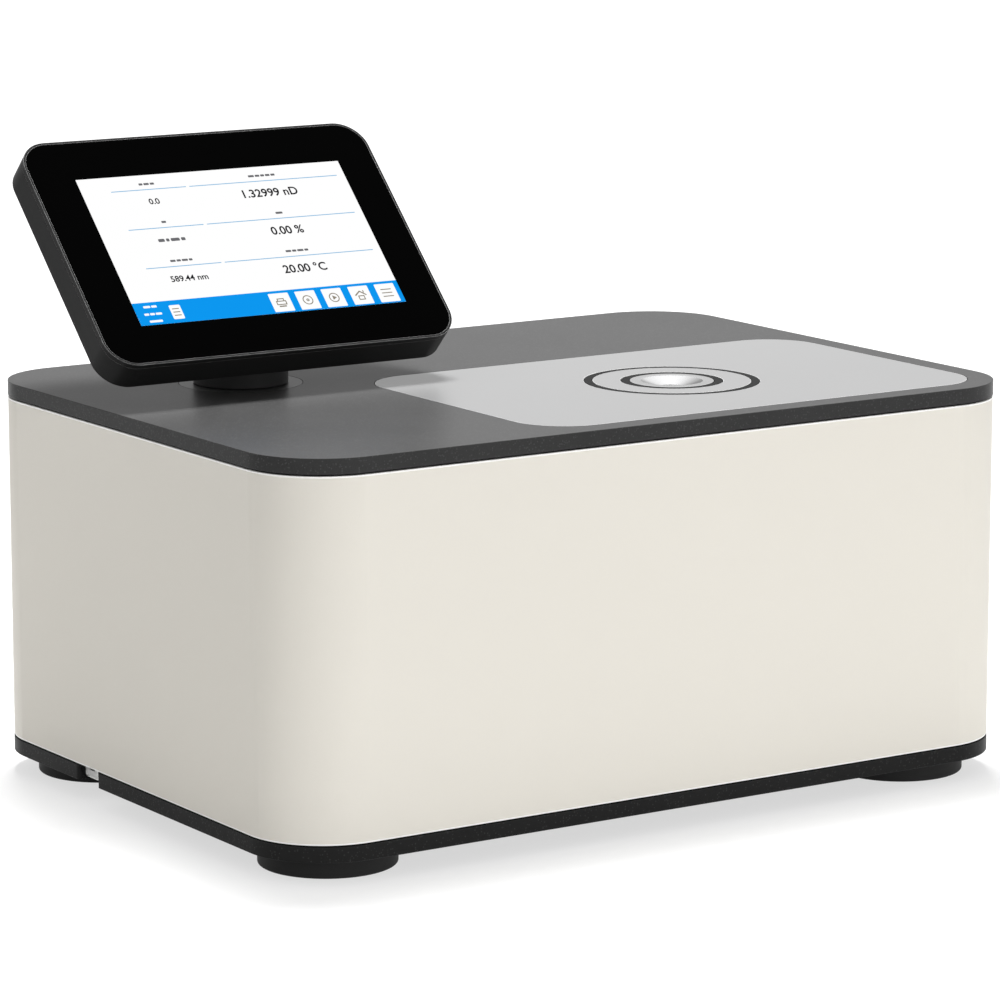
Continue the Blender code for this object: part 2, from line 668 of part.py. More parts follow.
def make_temperature_control(finishes):
    """Peltier module, finned heat sink and the fan below it."""
    peltier_y = STAGE_Y + PELTIER_OFFSET_Y
    peltier_z = PELTIER_UNDERSIDE + PELTIER_THICKNESS / 2
    block(
        "peltier_module",
        (PELTIER_SIDE, PELTIER_SIDE, PELTIER_THICKNESS),
        (STAGE_X, peltier_y, peltier_z),
        finishes["ceramic"],
    )
    gap = (SINK_SIDE - SINK_FIN_THICKNESS) / (SINK_FIN_COUNT - 1)
    fin_root = -SINK_BASE_THICKNESS
    fin_tip = fin_root - SINK_FIN_HEIGHT
    outline = [(SINK_SIDE / 2, fin_root), (SINK_SIDE / 2, 0.0), (-SINK_SIDE / 2, 0.0)]
    for index in range(SINK_FIN_COUNT):
        left = -SINK_SIDE / 2 + index * gap
        if index:
            outline.append((left, fin_root))
        outline += [(left, fin_tip), (left + SINK_FIN_THICKNESS, fin_tip)]
        if index < SINK_FIN_COUNT - 1:
            outline.append((left + SINK_FIN_THICKNESS, fin_root))
    sink = plate("heat_sink", outline[1:], -SINK_SIDE / 2, SINK_SIDE / 2, finishes["aluminium"])
    place(sink, (STAGE_X, SINK_Y, SINK_TOP), (math.pi / 2, 0.0, 0.0))

    frame_centre = (STAGE_X, SINK_Y, (FAN_TOP + FAN_BOTTOM) / 2)
    frame = block("fan_frame", (SINK_SIDE, SINK_SIDE, FAN_DEPTH), frame_centre, finishes["black_plastic"])
    centre = (STAGE_X, SINK_Y)
    low, high = FAN_BOTTOM - CUT_OVERRUN, FAN_TOP + CUT_OVERRUN
    cut(frame, round_cutter("fan_bore", FAN_BORE_RADIUS, low, high, centre, ROUND_SIDES))
    arm_z = FAN_BOTTOM + FAN_SPIDER_THICKNESS / 2
    arm = 2 * FAN_BORE_RADIUS + 2 * FUSE_DEPTH
    for name, size in (("x", (arm, FAN_ARM_WIDTH)), ("y", (FAN_ARM_WIDTH, arm))):
        fuse(frame, block(f"fan_arm_{name}", (*size, FAN_SPIDER_THICKNESS), (*centre, arm_z)))
    hub_high = FAN_BOTTOM + FAN_SPIDER_THICKNESS
    fuse(frame, round_cutter("fan_hub", FAN_HUB_RADIUS, FAN_BOTTOM, hub_high, centre))

    rotor_low = FAN_BOTTOM + FAN_SPIDER_THICKNESS + SEAT_GAP
    rotor = turned(
        "fan_rotor",
        ((FAN_HUB_RADIUS, 0.0), (FAN_HUB_RADIUS, ROTOR_HEIGHT)),
        finishes["black_plastic"],
        sides=SMALL_ROUND_SIDES,
    )
    place(rotor, (STAGE_X, SINK_Y, rotor_low))
    blade_low = FAN_HUB_RADIUS - 2 * FUSE_DEPTH
    blade_length = ROTOR_RADIUS - blade_low
    for index in range(BLADE_COUNT):
        blade = block(
            f"fan_blade_{index}",
            (blade_length, BLADE_THICKNESS, BLADE_CHORD),
            (0.0, 0.0, 0.0),
            parent=rotor,
        )
        blade.matrix_local = (
            Matrix.Rotation(2 * math.pi * index / BLADE_COUNT, 4, "Z")
            @ Matrix.Translation((blade_low + blade_length / 2, 0.0, ROTOR_HEIGHT / 2))
            @ Matrix.Rotation(BLADE_PITCH, 4, "X")
        )
        fuse(rotor, blade)


def beam_point(distance, side):
    """Place on the light path, at a distance from the prism's face, to its left (-1) or right (1)."""
    return Vector(
        (
            STAGE_X + side * distance * math.sin(BEAM_ANGLE),
            STAGE_Y,
            PRISM_FACE - distance * math.cos(BEAM_ANGLE),
        )
    )


def beam_rotation(side):
    """Turn that lays local +Z along the beam, towards the prism."""
    return (0.0, -side * BEAM_ANGLE, 0.0)


def make_lens(name, radius, thickness, material, place_on_beam, rotation):
    """A lens with a cylindrical edge and two domed faces."""
    edge = thickness * LENS_EDGE_SHARE / 2
    dome = thickness / 2 - edge
    steps = CORNER_STEPS // 2
    least = radius / ROUND_SIDES
    turns = [math.pi / 2 * step / steps for step in range(steps + 1)]
    upper = [(max(radius * math.cos(turn), least), edge + dome * math.sin(turn)) for turn in turns]
    lower = [(arc_radius, -height) for arc_radius, height in reversed(upper)]
    lens = turned(name, lower + upper, material, sides=SMALL_ROUND_SIDES)
    return place(lens, place_on_beam, rotation)


def make_optics(finishes):
    """Optical bench with the light source, lenses, folding mirror and line sensor."""
    bench_top = HOLDER_UNDERSIDE - SEAT_GAP
    bench_centre = (
        STAGE_X + BENCH_OFFSET_X,
        BENCH_FRONT_Y + BENCH_THICKNESS / 2,
        bench_top - BENCH_HEIGHT / 2,
    )
    block("optical_bench", (BENCH_WIDTH, BENCH_THICKNESS, BENCH_HEIGHT), bench_centre, finishes["aluminium"])
    carrier_depth = 2 * (BEAM_TO_BENCH - SEAT_GAP)

    left = beam_rotation(-1)
    led_face = LED_DISTANCE - LED_LENGTH
    led_size = (LED_SIDE, carrier_depth, LED_LENGTH)
    led = block("led_module", led_size, (0.0, 0.0, -LED_LENGTH / 2), finishes["black_plastic"])
    place(led, beam_point(led_face, -1), left)
    filter_room = CONDENSER_THICKNESS + SEAT_GAP + FILTER_THICKNESS + SEAT_GAP
    wells = (
        ("condenser_well", CONDENSER_RADIUS, CONDENSER_THICKNESS + SEAT_GAP),
        ("filter_well", FILTER_RADIUS, filter_room),
    )
    for name, radius, depth in wells:
        well = round_cutter(name, radius + SEAT_GAP, -depth, CUT_OVERRUN, (0.0, 0.0))
        cut(led, place(well, beam_point(led_face, -1), left))
    glass = finishes["lens_glass"]
    condenser_place = beam_point(led_face + CONDENSER_THICKNESS / 2, -1)
    make_lens("condenser_lens", CONDENSER_RADIUS, CONDENSER_THICKNESS, glass, condenser_place, left)
    filter_profile = ((FILTER_RADIUS, -FILTER_THICKNESS / 2), (FILTER_RADIUS, FILTER_THICKNESS / 2))
    disc = turned("interference_filter", filter_profile, finishes["filter_glass"], sides=SMALL_ROUND_SIDES)
    filter_distance = led_face + CONDENSER_THICKNESS + SEAT_GAP + FILTER_THICKNESS / 2
    place(disc, beam_point(filter_distance, -1), left)

    right = beam_rotation(1)
    mount_size = (OBJECTIVE_SIDE, carrier_depth, OBJECTIVE_LENGTH)
    mount = block("objective_mount", mount_size, (0.0, 0.0, -OBJECTIVE_LENGTH / 2), finishes["aluminium"])
    mount_place = beam_point(OBJECTIVE_DISTANCE, 1)
    place(mount, mount_place, right)
    light_hole = round_cutter(
        "objective_light_hole",
        OBJECTIVE_RADIUS - OBJECTIVE_LIP,
        -OBJECTIVE_LENGTH - CUT_OVERRUN,
        CUT_OVERRUN,
        (0.0, 0.0),
    )
    cut(mount, place(light_hole, mount_place, right))
    seat_depth = OBJECTIVE_THICKNESS + SEAT_GAP
    seat = round_cutter("objective_seat", OBJECTIVE_RADIUS + SEAT_GAP, -seat_depth, CUT_OVERRUN, (0.0, 0.0))
    cut(mount, place(seat, mount_place, right))
    lens_place = beam_point(OBJECTIVE_DISTANCE + OBJECTIVE_THICKNESS / 2, 1)
    make_lens("objective_lens", OBJECTIVE_RADIUS, OBJECTIVE_THICKNESS, glass, lens_place, right)

    mirror_place = beam_point(MIRROR_DISTANCE, 1)
    mirror_size = (MIRROR_SIDE, carrier_depth, MIRROR_THICKNESS)
    mirror = block("folding_mirror", mirror_size, (0.0, 0.0, MIRROR_THICKNESS / 2), finishes["mirror"])
    place(mirror, mirror_place, (0.0, BEAM_ANGLE, 0.0))
    sensor_top = mirror_place.z - SENSOR_DROP
    block(
        "line_sensor",
        (SENSOR_LENGTH, SENSOR_WIDTH, SENSOR_HEIGHT),
        (mirror_place.x, STAGE_Y, sensor_top - SENSOR_HEIGHT / 2),
        finishes["ceramic"],
    )
    board_top = sensor_top - SENSOR_HEIGHT - SEAT_GAP
    block(
        "sensor_board",
        (SENSOR_BOARD_LENGTH, carrier_depth, SENSOR_BOARD_THICKNESS),
        (mirror_place.x, STAGE_Y, board_top - SENSOR_BOARD_THICKNESS / 2),
        finishes["circuit_board"],
    )


def make_electronics(finishes):
    """Main board on its standoffs, and the power supply beside it."""
    board_low = BASE_TOP + BOARD_STANDOFF_HEIGHT + SEAT_GAP
    board_outline = rounded_rectangle(
        BOARD_WIDTH, BOARD_DEPTH, BOARD_STANDOFF_RADIUS, (BOARD_CENTRE_X, BOARD_CENTRE_Y)
    )
    board_high = board_low + BOARD_THICKNESS
    board = plate("main_board", board_outline, board_low, board_high, finishes["circuit_board"])
    chip_shares = (
        (-0.25, 0.20, 0.20, 0.24, 2.0),
        (0.15, 0.22, 0.14, 0.16, 1.0),
        (0.20, -0.15, 0.10, 0.22, 1.0),
        (-0.10, -0.25, 0.24, 0.12, 1.5),
        (0.40, 0.00, 0.08, 0.50, 2.5),
    )
    for index, (share_x, share_y, width_share, depth_share, height_share) in enumerate(chip_shares):
        height = CHIP_HEIGHT * height_share
        chip = block(
            f"board_chip_{index}",
            (BOARD_WIDTH * width_share, BOARD_DEPTH * depth_share, height + FUSE_DEPTH),
            (
                BOARD_CENTRE_X + BOARD_WIDTH * share_x,
                BOARD_CENTRE_Y + BOARD_DEPTH * share_y,
                board_high + (height - FUSE_DEPTH) / 2,
            ),
        )
        fuse(board, chip)
    supply_outline = rounded_rectangle(
        SUPPLY_WIDTH, SUPPLY_DEPTH, SUPPLY_EDGE_RADIUS, (SUPPLY_CENTRE_X, SUPPLY_CENTRE_Y)
    )
    supply_low = BASE_TOP + SEAT_GAP
    plate("power_supply", supply_outline, supply_low, supply_low + SUPPLY_HEIGHT, finishes["steel"])


def socket_shell(name, size, wall, material, flange_border=0.0):
    """A socket open at local +Z, with size (width, height, length) and an optional front flange."""
    width, height, length = size
    radius = 2 * wall
    outer = rounded_rectangle(width, height, radius)
    levels = [(outer, -length), (outer, 0.0)]
    if flange_border:
        flange = rounded_rectangle(width, height, radius, inset=-flange_border)
        levels += [(flange, 0.0), (flange, FLANGE_THICKNESS)]
    mouth = levels[-1][1]
    inner = rounded_rectangle(width, height, radius, inset=wall)
    shell = loft(name, levels, material)
    cavity = plate(f"{name}_cavity", inner, -length + wall, mouth + CUT_OVERRUN)
    cavity.parent = shell
    return cut(shell, cavity)


def make_rear_panel(finishes):
    """Connector panel with the mains inlet, power switch, sockets and exhaust slots."""
    facing_rear = (math.pi / 2, 0.0, math.pi)
    outline = rounded_rectangle(PANEL_WIDTH, PANEL_HEIGHT, PANEL_CORNER_RADIUS, inset=-PANEL_OVERLAP)
    panel = plate("rear_panel", outline, -PANEL_THICKNESS, 0.0, finishes["charcoal"])
    place(panel, (PANEL_CENTRE_X, PANEL_OUTER_Y, PANEL_CENTRE_HEIGHT), facing_rear)

    def window(name, width, height, share):
        opening = rounded_rectangle(width, height, LEAST_CORNER, (-share * PANEL_WIDTH, 0.0), inset=-SEAT_GAP)
        cutter = plate(f"{name}_window", opening, -PANEL_THICKNESS - CUT_OVERRUN, CUT_OVERRUN)
        cutter.parent = panel
        cut(panel, cutter)

    def seat(obj, share):
        x = PANEL_CENTRE_X + share * PANEL_WIDTH
        place(obj, (x, PANEL_OUTER_Y + SEAT_GAP, PANEL_CENTRE_HEIGHT), facing_rear)

    black, steel = finishes["black_plastic"], finishes["steel"]
    window("inlet", INLET_WIDTH, INLET_HEIGHT, INLET_SHARE)
    inlet_size = (INLET_WIDTH, INLET_HEIGHT, INLET_LENGTH)
    seat(socket_shell("power_inlet", inlet_size, INLET_WALL, black, INLET_FLANGE_BORDER), INLET_SHARE)
    window("switch", SWITCH_WIDTH, SWITCH_HEIGHT, SWITCH_SHARE)
    switch_size = (SWITCH_WIDTH, SWITCH_HEIGHT, SWITCH_LENGTH)
    switch = socket_shell("switch_frame", switch_size, SWITCH_WALL, black, SWITCH_FLANGE_BORDER)
    seat(switch, SWITCH_SHARE)
    window("network", NETWORK_WIDTH, NETWORK_HEIGHT, NETWORK_SHARE)
    network_size = (NETWORK_WIDTH, NETWORK_HEIGHT, NETWORK_LENGTH)
    seat(socket_shell("network_socket", network_size, NETWORK_WALL, steel), NETWORK_SHARE)
    usb_size = (USB_WIDTH, USB_HEIGHT, USB_LENGTH)
    for name, share in zip(("rear_usb_socket_inner", "rear_usb_socket_outer"), USB_SHARES):
        window(name, USB_WIDTH, USB_HEIGHT, share)
        seat(socket_shell(name, usb_size, USB_WALL, steel), share)
    for index, offset in enumerate(row_of_places(PANEL_VENT_COUNT, PANEL_VENT_PITCH)):
        centre = (-PANEL_VENT_SHARE * PANEL_WIDTH + offset, 0.0)
        slot = rounded_rectangle(PANEL_VENT_WIDTH, PANEL_VENT_HEIGHT, PANEL_VENT_WIDTH / 2, centre)
        cutter = plate(f"panel_vent_{index}", slot, -PANEL_THICKNESS - CUT_OVERRUN, CUT_OVERRUN)
        cutter.parent = panel
        cut(panel, cutter)


def make_rocker(finishes):
    """Rocker of the power switch, resting at its ON stop, on an axis along X."""
    width = SWITCH_WIDTH - 2 * SWITCH_WALL - 2 * ROCKER_SIDE_GAP
    half = SWITCH_HEIGHT / 2 - SWITCH_WALL - ROCKER_END_GAP
    outline = [
        (half, 0.0),
        (half, ROCKER_THICKNESS + ROCKER_CROWN),
        (0.0, ROCKER_THICKNESS),
        (-half, ROCKER_THICKNESS + ROCKER_CROWN),
        (-half, 0.0),
    ]
    rocker = plate("power_rocker", outline, -width / 2, width / 2, finishes["black_plastic"])
    lay_along_x(rocker)
    crest = (ROCKER_THICKNESS + ROCKER_CROWN) * math.cos(ROCKER_TILT) + half * math.sin(ROCKER_TILT)
    pivot_y = PANEL_OUTER_Y + SEAT_GAP + FLANGE_THICKNESS - crest
    place(
        rocker,
        (PANEL_CENTRE_X + SWITCH_SHARE * PANEL_WIDTH, pivot_y, PANEL_CENTRE_HEIGHT),
        (-math.pi / 2 + ROCKER_TILT, 0.0, 0.0),
    )


def make_side_socket(finishes):
    """Socket in the cable notch, facing left."""
    size = (USB_WIDTH, USB_HEIGHT, USB_LENGTH)
    socket = socket_shell("side_usb_socket", size, USB_WALL, finishes["steel"])
    centre_y = NOTCH_REAR_Y - SEAT_GAP - USB_WIDTH / 2
    centre_z = FOOT_HEIGHT + SIDE_SOCKET_LIFT + USB_HEIGHT / 2
    mouth_x = -BODY_WIDTH / 2 + SIDE_SOCKET_RECESS
    place(socket, (mouth_x, centre_y, centre_z), (math.pi / 2, 0.0, -math.pi / 2))


def make_swivel(finishes):
    """Disc, bush, hollow column with its two ears, and the ring that holds it all down."""
    axis = bpy.data.objects.new("swivel_axis", None)
    bpy.context.scene.collection.objects.link(axis)
    axis.location = (SWIVEL_X, SWIVEL_Y, 0.0)
    neck_hole = NECK_RADIUS + SEAT_GAP
    disc_low = TOP_FACE - SWIVEL_DISC_THICKNESS
    disc_profile = tube_profile(neck_hole, SWIVEL_DISC_RADIUS, disc_low, TOP_FACE)
    place(turned("swivel_disc", disc_profile, finishes["disc_plastic"], ring=True), (SWIVEL_X, SWIVEL_Y, 0.0))
    bush_radius = neck_hole + BUSH_WALL
    flange_high = TOP_UNDERSIDE - SEAT_GAP
    flange_low = flange_high - BUSH_FLANGE_THICKNESS
    bush_profile = (
        (neck_hole, flange_low),
        (BUSH_FLANGE_RADIUS, flange_low),
        (BUSH_FLANGE_RADIUS, flange_high),
        (bush_radius, flange_high),
        (bush_radius, disc_low - SEAT_GAP),
        (neck_hole, disc_low - SEAT_GAP),
    )
    place(turned("swivel_bush", bush_profile, finishes["bronze"], ring=True), (SWIVEL_X, SWIVEL_Y, 0.0))

    retainer_high = flange_low - SEAT_GAP
    retainer_low = retainer_high - RETAINER_THICKNESS
    retainer_profile = tube_profile(neck_hole, RETAINER_RADIUS, retainer_low, retainer_high)
    turned("swivel_retainer", retainer_profile, finishes["steel"], axis, ring=True)

    column_low, column_high = TOP_FACE + SEAT_GAP, TOP_FACE + COLUMN_HEIGHT
    column_profile = (
        (CABLE_BORE_RADIUS, retainer_low),
        (NECK_RADIUS, retainer_low),
        (NECK_RADIUS, column_low),
        (COLUMN_RADIUS, column_low),
        (COLUMN_RADIUS, column_high - COLUMN_EDGE_CHAMFER),
        (COLUMN_RADIUS - COLUMN_EDGE_CHAMFER, column_high),
        (CABLE_BORE_RADIUS, column_high),
    )
    column = turned("swivel_column", column_profile, finishes["black_plastic"], axis, ring=True)
    for side, direction in (("left", -1), ("right", 1)):
        ear = make_ear(f"ear_{side}", column_high - 2 * FUSE_DEPTH)
        ear.parent = axis
        ear.location = (direction * (EAR_INNER_X + EAR_THICKNESS / 2), 0.0, TILT_AXIS_Z)
        fuse(column, ear)
    pin_hole = circle(TILT_PIN_RADIUS + SEAT_GAP, SMALL_ROUND_SIDES)
    reach = EAR_INNER_X + EAR_THICKNESS + CUT_OVERRUN
    drill = plate("pin_drill", pin_hole, -reach, reach, parent=axis)
    place(drill, (0.0, 0.0, TILT_AXIS_Z), (0.0, math.pi / 2, 0.0))
    cut(column, drill)

    ear_outer = EAR_INNER_X + EAR_THICKNESS + SEAT_GAP
    head_end = ear_outer + TILT_PIN_HEAD_HEIGHT
    pin_profile = (
        (TILT_PIN_HEAD_RADIUS, -head_end),
        (TILT_PIN_HEAD_RADIUS, -ear_outer),
        (TILT_PIN_RADIUS, -ear_outer),
        (TILT_PIN_RADIUS, ear_outer),
        (TILT_PIN_HEAD_RADIUS, ear_outer),
        (TILT_PIN_HEAD_RADIUS, head_end),
    )
    pin = turned("tilt_pin", pin_profile, finishes["steel"], axis, sides=SMALL_ROUND_SIDES)
    place(pin, (0.0, 0.0, TILT_AXIS_Z), (0.0, math.pi / 2, 0.0))
    washer_centre = EAR_INNER_X - SEAT_GAP - WASHER_THICKNESS / 2
    for side, direction in (("left", -1), ("right", 1)):
        profile = tube_profile(
            TILT_PIN_RADIUS + SEAT_GAP, WASHER_RADIUS, -WASHER_THICKNESS / 2, WASHER_THICKNESS / 2
        )
        washer = turned(
            f"friction_washer_{side}", profile, finishes["bronze"], axis, sides=SMALL_ROUND_SIDES, ring=True
        )
        place(washer, (direction * washer_centre, 0.0, TILT_AXIS_Z), (0.0, math.pi / 2, 0.0))
    return axis


def make_ear(name, root):
    """One upright ear of the hinge, round about the tilt axis, standing on the column at root."""
    drop = root - TILT_AXIS_Z
    arc = [math.pi * step / SMALL_ROUND_SIDES for step in range(SMALL_ROUND_SIDES + 1)]
    outline = [(-EAR_RADIUS, drop), (EAR_RADIUS, drop)]
    outline += [(EAR_RADIUS * math.cos(turn), EAR_RADIUS * math.sin(turn)) for turn in arc]
    return lay_along_x(plate(name, outline, -EAR_THICKNESS / 2, EAR_THICKNESS / 2))


def display_outline(inset=0.0):
    """Outline of the display's housing, in the plane of the screen."""
    centre = (DISPLAY_SHIFT_X, DISPLAY_RISE)
    return rounded_rectangle(DISPLAY_WIDTH, DISPLAY_HEIGHT, DISPLAY_CORNER_RADIUS, centre, inset)


def make_display(finishes, swivel_axis):
    """Touch display on its knuckle. Local X and Y lie in the screen and local +Z points out of it."""
    axis = bpy.data.objects.new("tilt_axis", None)
    bpy.context.scene.collection.objects.link(axis)
    axis.parent = swivel_axis
    axis.location = (0.0, 0.0, TILT_AXIS_Z)
    axis.rotation_euler = (TILT_ANGLE, 0.0, 0.0)

    washer_inner_x = EAR_INNER_X - SEAT_GAP - WASHER_THICKNESS
    knuckle_half = washer_inner_x - SEAT_GAP
    flange_high = BACK_TO_TILT_AXIS - SEAT_GAP
    flange_low = flange_high - KNUCKLE_FLANGE_THICKNESS
    flange_depth = KNUCKLE_FLANGE_HIGH - KNUCKLE_FLANGE_LOW
    flange_centre_y = (KNUCKLE_FLANGE_HIGH + KNUCKLE_FLANGE_LOW) / 2
    flange_outline = rounded_rectangle(
        KNUCKLE_FLANGE_WIDTH, flange_depth, KNUCKLE_RADIUS, (0.0, flange_centre_y)
    )
    knuckle = plate("hinge_knuckle", flange_outline, flange_low, flange_high, finishes["black_plastic"], axis)
    barrel = plate("knuckle_barrel", circle(KNUCKLE_RADIUS, SMALL_ROUND_SIDES), -knuckle_half, knuckle_half)
    barrel.parent = axis
    barrel.rotation_euler = (0.0, math.pi / 2, 0.0)
    fuse(knuckle, barrel)
    web_high = flange_low + FUSE_DEPTH
    web_size = (2 * knuckle_half - FUSE_DEPTH, 2 * KNUCKLE_RADIUS - FUSE_DEPTH, web_high)
    fuse(knuckle, block("knuckle_web", web_size, (0.0, 0.0, web_high / 2), parent=axis))
    bore = circle(TILT_PIN_RADIUS + SEAT_GAP, SMALL_ROUND_SIDES)
    drill = plate("knuckle_drill", bore, -EAR_INNER_X, EAR_INNER_X, parent=axis)
    drill.rotation_euler = (0.0, math.pi / 2, 0.0)
    cut(knuckle, drill)

    back = BACK_TO_TILT_AXIS
    cover_front = DISPLAY_FRONT - FRAME_LIP_DEPTH - SEAT_GAP
    inside = display_outline(REAR_COVER_WALL)
    loft(
        "display_rear_cover",
        [
            (display_outline(), back),
            (display_outline(), cover_front),
            (inside, cover_front),
            (inside, back + REAR_COVER_FLOOR),
        ],
        finishes["display_grey"],
        axis,
    )
    pocket_floor = DISPLAY_FRONT - COVER_GLASS_THICKNESS - SEAT_GAP
    glass_edge = FRAME_RIM_WIDTH - SEAT_GAP
    skirt_back = DISPLAY_FRONT - FRAME_LIP_DEPTH - FRAME_SKIRT_DEPTH
    skirt_inset = REAR_COVER_WALL + SEAT_GAP
    inner_inset = skirt_inset + FRAME_LEDGE_WIDTH
    lip_back = DISPLAY_FRONT - FRAME_LIP_DEPTH
    frame_section = (
        (0.0, lip_back),
        (0.0, DISPLAY_FRONT),
        (glass_edge, DISPLAY_FRONT),
        (glass_edge, pocket_floor),
        (inner_inset, pocket_floor),
        (inner_inset, skirt_back),
        (skirt_inset, skirt_back),
        (skirt_inset, lip_back),
    )
    frame_levels = [(display_outline(inset), height) for inset, height in frame_section]
    loft("display_frame", frame_levels, finishes["display_grey"], axis, ring=True)
    glass_low = DISPLAY_FRONT - COVER_GLASS_THICKNESS
    glass_outline = display_outline(FRAME_RIM_WIDTH)
    plate("cover_glass", glass_outline, glass_low, DISPLAY_FRONT, finishes["black_glass"], axis)
    centre = (DISPLAY_SHIFT_X, DISPLAY_RISE)
    lcd_high = glass_low - SEAT_GAP
    lcd_low = lcd_high - LCD_THICKNESS
    lcd_width, lcd_height = DISPLAY_WIDTH - 2 * LCD_SIDE_BORDER, DISPLAY_HEIGHT - 2 * LCD_END_BORDER
    lcd_outline = rounded_rectangle(lcd_width, lcd_height, LCD_CORNER_RADIUS, centre)
    plate("lcd_panel", lcd_outline, lcd_low, lcd_high, finishes["steel"], axis)
    board_high = lcd_low - SEAT_GAP
    board_outline = rounded_rectangle(
        DISPLAY_WIDTH, DISPLAY_HEIGHT, LCD_CORNER_RADIUS, centre, inset=DISPLAY_BOARD_BORDER
    )
    plate(
        "display_board",
        board_outline,
        board_high - DISPLAY_BOARD_THICKNESS,
        board_high,
        finishes["circuit_board"],
        axis,
    )


def make_finishes():
    """All materials, by the name that the pieces ask for."""
    return {
        "cream": finish("cream_paint", (0.80, 0.78, 0.72), 0.45),
        "anthracite": finish("anthracite_top", (0.15, 0.15, 0.155), 0.5),
        "charcoal": finish("charcoal_base", (0.035, 0.035, 0.035), 0.55),
        "silver": finish("silver_plate", (0.62, 0.62, 0.62), 0.4, 0.3),
        "seal": finish("dark_seal", (0.05, 0.05, 0.05), 0.6),
        "polished_steel": finish("polished_steel", (0.8, 0.8, 0.8), 0.12, 1.0),
        "sapphire": finish("sapphire", (0.9, 0.92, 0.95), 0.05),
        "rubber": finish("black_rubber", (0.025, 0.025, 0.025), 0.7),
        "steel": finish("steel", (0.6, 0.6, 0.6), 0.35, 1.0),
        "aluminium": finish("aluminium", (0.7, 0.7, 0.72), 0.4, 1.0),
        "ceramic": finish("ceramic", (0.85, 0.85, 0.82), 0.5),
        "bronze": finish("bronze", (0.5, 0.35, 0.18), 0.4, 1.0),
        "black_plastic": finish("black_plastic", (0.02, 0.02, 0.02), 0.45),
        "disc_plastic": finish("disc_plastic", (0.13, 0.13, 0.135), 0.5),
        "display_grey": finish("display_grey", (0.03, 0.03, 0.03), 0.4),
        "black_glass": finish("black_glass", (0.004, 0.004, 0.004), 0.08),
        "lens_glass": finish("lens_glass", (0.85, 0.9, 0.92), 0.05),
        "filter_glass": finish("filter_glass", (0.9, 0.6, 0.2), 0.08),
        "mirror": finish("mirror", (0.9, 0.9, 0.9), 0.03, 1.0),
        "circuit_board": finish("circuit_board", (0.02, 0.16, 0.06), 0.5),
    }


def main():
    """Build the instrument from the feet up."""
    clear_scene()
    finishes = make_finishes()
    make_corners(finishes)
    make_base(finishes)
    make_side_socket(finishes)
    make_housing(finishes)
    make_top(finishes)
    make_stage(finishes)
    make_prism(finishes)
    make_holder(finishes)
    make_temperature_control(finishes)
    make_optics(finishes)
    make_electronics(finishes)
    make_rear_panel(finishes)
    make_rocker(finishes)
    swivel_axis = make_swivel(finishes)
    make_display(finishes, swivel_axis)


main()
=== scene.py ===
"""Looks of a bench-top digital refractometer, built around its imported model.

Lengths are in metres, +Z is up and the instrument's front faces -Y. Each class is one sub-assembly:
it holds its sizes, models its pieces in place and dresses them.
"""

import json
import logging
import math
from dataclasses import dataclass
from enum import Enum
from typing import Callable, Iterable, Sequence

import bpy
from mathutils import Matrix, Vector


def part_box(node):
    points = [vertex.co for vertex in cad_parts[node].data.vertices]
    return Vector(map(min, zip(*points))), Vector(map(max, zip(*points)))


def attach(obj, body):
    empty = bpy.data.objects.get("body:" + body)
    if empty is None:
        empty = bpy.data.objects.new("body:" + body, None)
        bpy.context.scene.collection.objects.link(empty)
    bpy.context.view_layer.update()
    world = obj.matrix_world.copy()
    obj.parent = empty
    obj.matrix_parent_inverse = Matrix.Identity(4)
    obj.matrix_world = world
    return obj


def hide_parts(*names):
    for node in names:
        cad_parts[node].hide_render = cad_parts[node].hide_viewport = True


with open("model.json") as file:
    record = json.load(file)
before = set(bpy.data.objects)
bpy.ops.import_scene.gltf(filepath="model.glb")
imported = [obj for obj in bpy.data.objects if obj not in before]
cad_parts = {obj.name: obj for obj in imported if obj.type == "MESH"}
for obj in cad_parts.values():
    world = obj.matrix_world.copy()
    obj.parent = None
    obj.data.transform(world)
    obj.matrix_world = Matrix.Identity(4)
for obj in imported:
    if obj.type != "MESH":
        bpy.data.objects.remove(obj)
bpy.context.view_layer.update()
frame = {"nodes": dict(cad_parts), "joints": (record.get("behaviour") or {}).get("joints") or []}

LOG = logging.getLogger("refractometer")

Piece = bpy.types.Object
Node = bpy.types.Node
Socket = bpy.types.NodeSocket
Colour = tuple[float, float, float]
Pair = tuple[float, float]
Place = Sequence[float]
Profile = Sequence[Pair]
Test = Callable[[Vector, Vector], bool]

MILLIMETRE = 0.001
SEAT_GAP = 0.3 * MILLIMETRE
OVERRUN = 1.0 * MILLIMETRE
TOUCH = 0.002 * MILLIMETRE
MANY_SIDES, FEW_SIDES = 128, 48
MANY_STEPS, FEW_STEPS = 24, 8
HARD_EDGE = math.radians(35)
SMOOTH_EDGE = math.radians(40)
UP = Vector((0, 0, 1))
LAID_ALONG_X = Matrix.Rotation(math.pi / 2, 4, "Y")
SIDES = (-1, 1)
CORNERS = ("front_left", "front_right", "rear_left", "rear_right")


class Axis(Enum):
    """A main direction, as the place of its coordinate in a point."""

    X = 0
    Y = 1
    Z = 2


class Body(Enum):
    """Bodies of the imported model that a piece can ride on."""

    INSTRUMENT = "instrument"
    SWIVEL = "swivel"
    DISPLAY = "display"
    SWITCH = "switch"
    FAN = "fan"


class Cut(Enum):
    """What one shape does to another."""

    REMOVE = "DIFFERENCE"
    ADD = "UNION"


